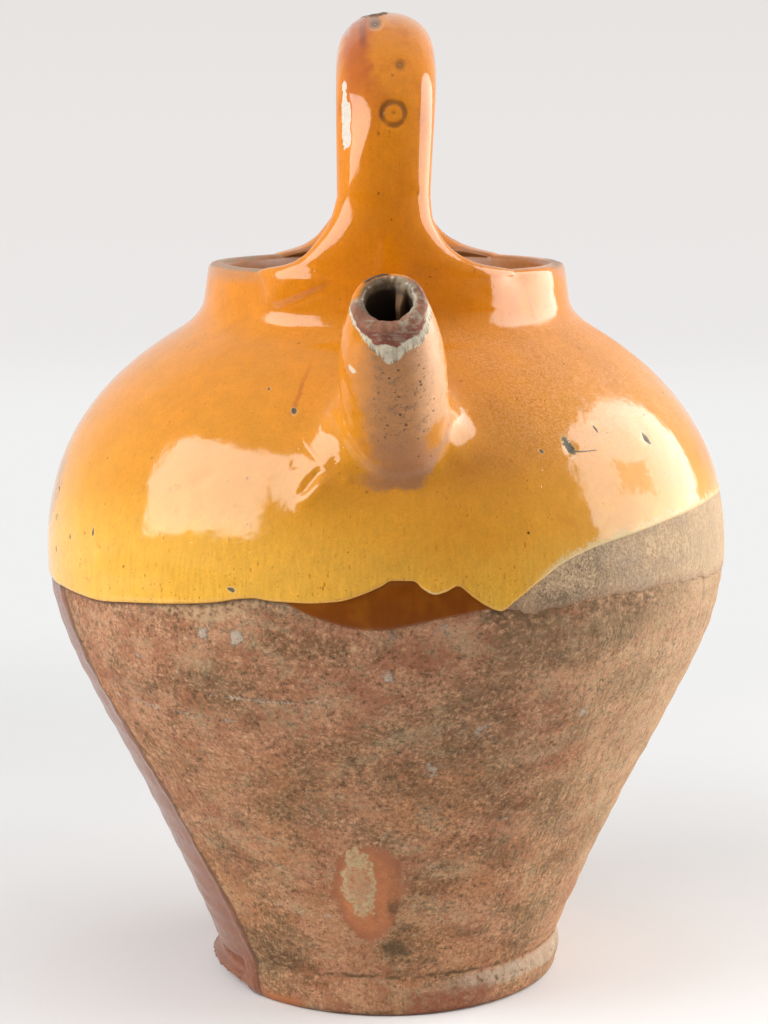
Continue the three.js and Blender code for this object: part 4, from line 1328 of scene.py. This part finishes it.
def spoutPoint(kind, share, drop, angle):  # a point of the spout, and its distance up the spout
    out = (spoutTurn @ turned(1, angle, 0)).normalized()
    front = math.cos(angle)
    side = math.sin(angle)
    tipRoot = spout["length"] - spout["lip"]
    tip = spoutSide(tipRoot)
    bore = spout["bore"] - spout["boreShift"] * front
    chipped = rough(turned(9, angle, 0), 6.0, 3, 4.0)
    flare = between(spout["skirt"] + 3.5 * max(side, 0.0), spout["skirtFront"], ease(0.1, 0.95, front))
    flare = flare * (1 + 0.3 * rough(turned(9, angle, 3), 9.0))
    foot = spoutSide(0.0)
    if kind in ("tuck", "skirt"):
        reach = foot + flare * share * share if kind == "skirt" else foot + flare + share
        under, along = shoulderUnder(out, reach)
        lift = flare * (1 - share) ** 2 if kind == "skirt" else drop
        return under + spoutAxis * lift, along + lift
    if kind == "side":
        along = between(shoulderUnder(out, foot)[1] + flare, tipRoot, share)
        radius = spoutSide(along) - ease(46, 52, along) * max(front, 0.0) * (0.5 + 0.4 * chipped)
        radius += 0.25 * rough(turned(radius, angle, along), 8.0, 3, 2.0) * ease(0.0, 0.25, share)
    elif kind == "lip":
        turn = math.pi * share
        radius = (tip + bore) / 2 + (tip - bore) / 2 * math.cos(turn)
        radius -= max(front, 0.0) * (0.5 + 0.4 * chipped) * (1 - share)
        along = tipRoot + spout["lip"] * math.sin(turn)
    else:
        along = between(tipRoot, -spout["plunge"], share)
        fold = ease(0.20, 0.34, side) * (1 - ease(0.60, 0.72, side)) * ease(0.0, -0.2, front)
        radius = between(bore, spout["boreRoot"], ease(0.35, 0.8, share))
        radius = radius + 0.3 * rough(turned(8, angle, along), 3.0)
        radius -= 3.2 * fold * ease(52.5, 49.0, along) * ease(24.0, 40.0, along)
    near = ease(spout["length"] - 9, spout["length"], along)
    jagged = 0.35 * rough(turned(radius, angle, along), 2.2, 3, 5.0)
    sunk = max(0.0, 0.45 + chipped + 0.4 * front) + jagged + spout["tilt"] * front
    return spoutRoot + spoutTurn @ turned(radius + 0.5 * jagged * near, angle, along - sunk * near), along


def throwSpout(material):
    rows = spoutRows()
    bm = throwBlank(len(rows), spout["segments"], closed=True)
    marks = {name: bm.verts.layers.float.new(name)
             for name in ("alongSpout", "frontSpout", "sideSpout", "inBore", "skirt", "lipShare")}
    for v in bm.verts:
        angle = angleOf(v.co)
        kind, share, drop = rows[round(v.co.z)]
        v.co, v[marks["alongSpout"]] = spoutPoint(kind, share, drop, angle)
        v[marks["frontSpout"]] = math.cos(angle)
        v[marks["sideSpout"]] = math.sin(angle)
        v[marks["inBore"]] = 1.0 if kind == "bore" else 0.0
        v[marks["skirt"]] = {"tuck": 1.0, "skirt": share}.get(kind, 0.0)
        v[marks["lipShare"]] = {"lip": share, "bore": 1.0}.get(kind, 0.0)
    return finishPiece(bm, "pouringSpout", material, "spout_glaze", "spout", "spout_luting_coil")


def spoutMaterial():
    material, shader, place = startMaterial("wornSpoutGlaze", ior=glaze["ior"])
    along = mark(place, "alongSpout")
    front = mark(place, "frontSpout")
    side = mark(place, "sideSpout")
    bore = mark(place, "inBore")
    edge = grain(place, 4, 5, 0.68)
    jag = edge - 0.5
    fine = grain(place, 0.9, 4, 0.7)
    mottle = grain(place, 7, 5, 0.62)
    wrapped = along.node("CombineXYZ", {}, {0: side * 14, 1: front * 14, 2: along * 0.12})
    brushed = grain(wrapped, 0.9, 4, 0.65)
    colour = Layers(spout, glazeTint(place).wire)

    # worn front
    skirt = mark(place, "skirt")
    worn = rise(front + side * 0.45 + jag * 0.7 + (mottle - 0.5) * 0.5, 0.3, 0.9)
    worn = worn * rise(skirt + jag * 0.8 + rise(side, 0.3, 0.75) * 0.6, 0.98, 0.7)
    pocket = ((side - 0.76) * 5) ** 2 + ((along - 8) / 6) ** 2 + jag * 2.5 + (mottle - 0.5) * 3
    worn = worn * (1 - rise(pocket, 1.6, 0.3) * 0.7)
    peach = tint(rise(mottle, 0.38, 0.64), spout["peach"], spout["tan"])
    # pink on the right side of the worn spout, partly its own colour and partly a painted sheen
    peach = tint(rise(side, 0.25, 0.75) * 0.85, peach, spout["pinkAndSheen"])
    root = rise(along + (mottle - 0.5) * 14, 17, 7)
    peach = tint(root * 0.6, peach, spout["mauve"])
    colour.lay(worn * 0.9, peach, 0.6 + fine * 0.72)
    streaked = rise(front + side * 0.15 + jag * 0.3, 0.74, 0.93) * rise(along, 4, 14) * worn
    dirty = rise(grain(place, 3.2, 6, 0.75), 0.52, 0.66) * streaked
    colour.lay(dirty * 0.6, "olive")
    crumbs = grain(place, 1.1, 3, 0.6, (1, 1, 0.8))
    spots = rise(crumbs, 0.6, 0.66) * rise(edge, 0.44, 0.56) + specks(place, 3.4, 0.42, 0.4)
    spots = spots * streaked + specks(place, 4.6, 0.4, 0.4) * worn
    colour.lay(spots * 0.85, "speck")
    knock = (((side + 0.75) * 14) ** 2 + (along - 37) ** 2) ** 0.5 + jag * 3 + (fine - 0.5) * 2
    colour.lay(rise(knock, 1.1, 0.8) * rise(front, 0.2, 0.4) * 0.8, "slip")

    # bare slip and red clay at the lip
    level = side * 0.5 + 0.5
    # where the slip's ragged edge lies along the spout, by side
    stops = [(0, 52), (0.125, 50.6), (0.275, 47.8), (0.4, 44.6), (0.475, 42.2), (0.55, 43.4), (0.675, 45.8),
             (0.8, 46.4), (0.925, 48.6), (1, 51)]
    stops = [(position, paint(*[(value - 40) / 20] * 3)) for position, value in stops]
    tongue = level.node("ValToRGB", {"stops": stops}, {0: level}) * 20 + 40
    past = along + jag * 4 + (brushed - 0.5) * 2.2 + (fine - 0.5) * 2 - tongue
    bare = rise(past, -0.4, 0.4) * rise(front, -0.25, 0.05)
    pale = tint(rise(brushed * 0.45 + edge * 0.55, 0.42, 0.6) * 0.7, spout["slip"], spout["greySlip"])
    pale = tint(rise(past, 2.2, 0.2) * rise(brushed, 0.5, 0.58) * 0.8, pale, spout["olive"])
    colour.lay(bare, pale, 0.7 + fine * 0.5)
    redLine = 48.9 + (side - 0.05) ** 2 * 5
    red = rise(along + jag * 7 - redLine, -0.4, 0.5) * rise(front + jag * 0.4, 0.2, 0.5)
    flaked = rise(grain(place, 1.8, 5, 0.72, (0.5, 0.5, 1.4)) + side * 0.05, 0.5, 0.6)
    colour.lay(red, tint(flaked * 0.45, shade(spout["red"], 0.45 + edge * 1.1), spout["greySlip"]))
    lip = rise(along + jag * 1.6, 53.2, 54.2)
    lipColour = tint(rise(edge + side * 0.1, 0.5, 0.64) * 0.8, spout["rawLip"], spout["greySlip"])
    colour.lay(lip * rise(front + side * 0.5 + jag * 0.5, -0.75, -0.25), lipColour, 0.45 + fine)
    lipShare = mark(place, "lipShare")
    ring = tint(rise(edge + side * 0.1, 0.44, 0.58), spout["ring"], spout["greySlip"])
    ringed = rise(lipShare + jag * 0.5 - rise(front, 0.2, 0.9) * 0.3, 0.46, 0.7)
    colour.lay(ringed * 0.9, ring, 0.5 + fine * 0.9)
    burnt = rise(lipShare, 0.12, 0.22) * rise(lipShare + jag * 0.3, 0.62, 0.5) * rise(front, -0.62, -0.8)
    burnt = burnt * rise(-side + jag * 0.4, -0.1, 0.05) * rise(along, 51, 52)
    colour.lay(burnt, "speck")
    # inside the bore: painted shade deep inside, paler slip towards the mouth, and a painted lit patch on
    # the clay fold
    fold = band(side, 0.24, 0.34, 0.6, 0.7) * rise(along + jag * 2, 52, 50.5) * rise(front, 0, -0.2)
    # painted shade: nearly black deep in the bore
    inner = tint(rise(along + jag * 3, 51, 54) * 0.6, spout["boreShade"], spout["greySlip"])
    # painted light: a pale tan patch on the clay fold inside the bore
    inner = tint(fold, inner, spout["boreLitTan"])
    colour.lay(bore, inner, 0.5 + edge * 0.9)
    feed(shader, "Base Color", colour.wire)
    matte = worn * 0.3 + bare * 0.35 + red * 0.3 + lip * 0.2 + bore * 0.5
    feed(shader, "Roughness", place.math("MINIMUM", 0.09 + matte, 0.85))
    skin = (edge * 0.4 + fine * 0.4 + mottle * 0.5) * matte - spots * 0.6 + bare * brushed * 0.5
    feed(shader, "Normal", bump(skin + glazePeel(place), 0.4, 0.5))
    return material


throwClay(clayMaterial())
coatShoulder(glazeMaterial())
layCoat("amberLap", amberMaterial(), "amber_glaze", "amber_glaze_lap", amberRun, amber)
layCoat("slipBand", slipMaterial(), "pale_slip", "slip_band", slipRun, slip)
throwSpout(spoutMaterial())
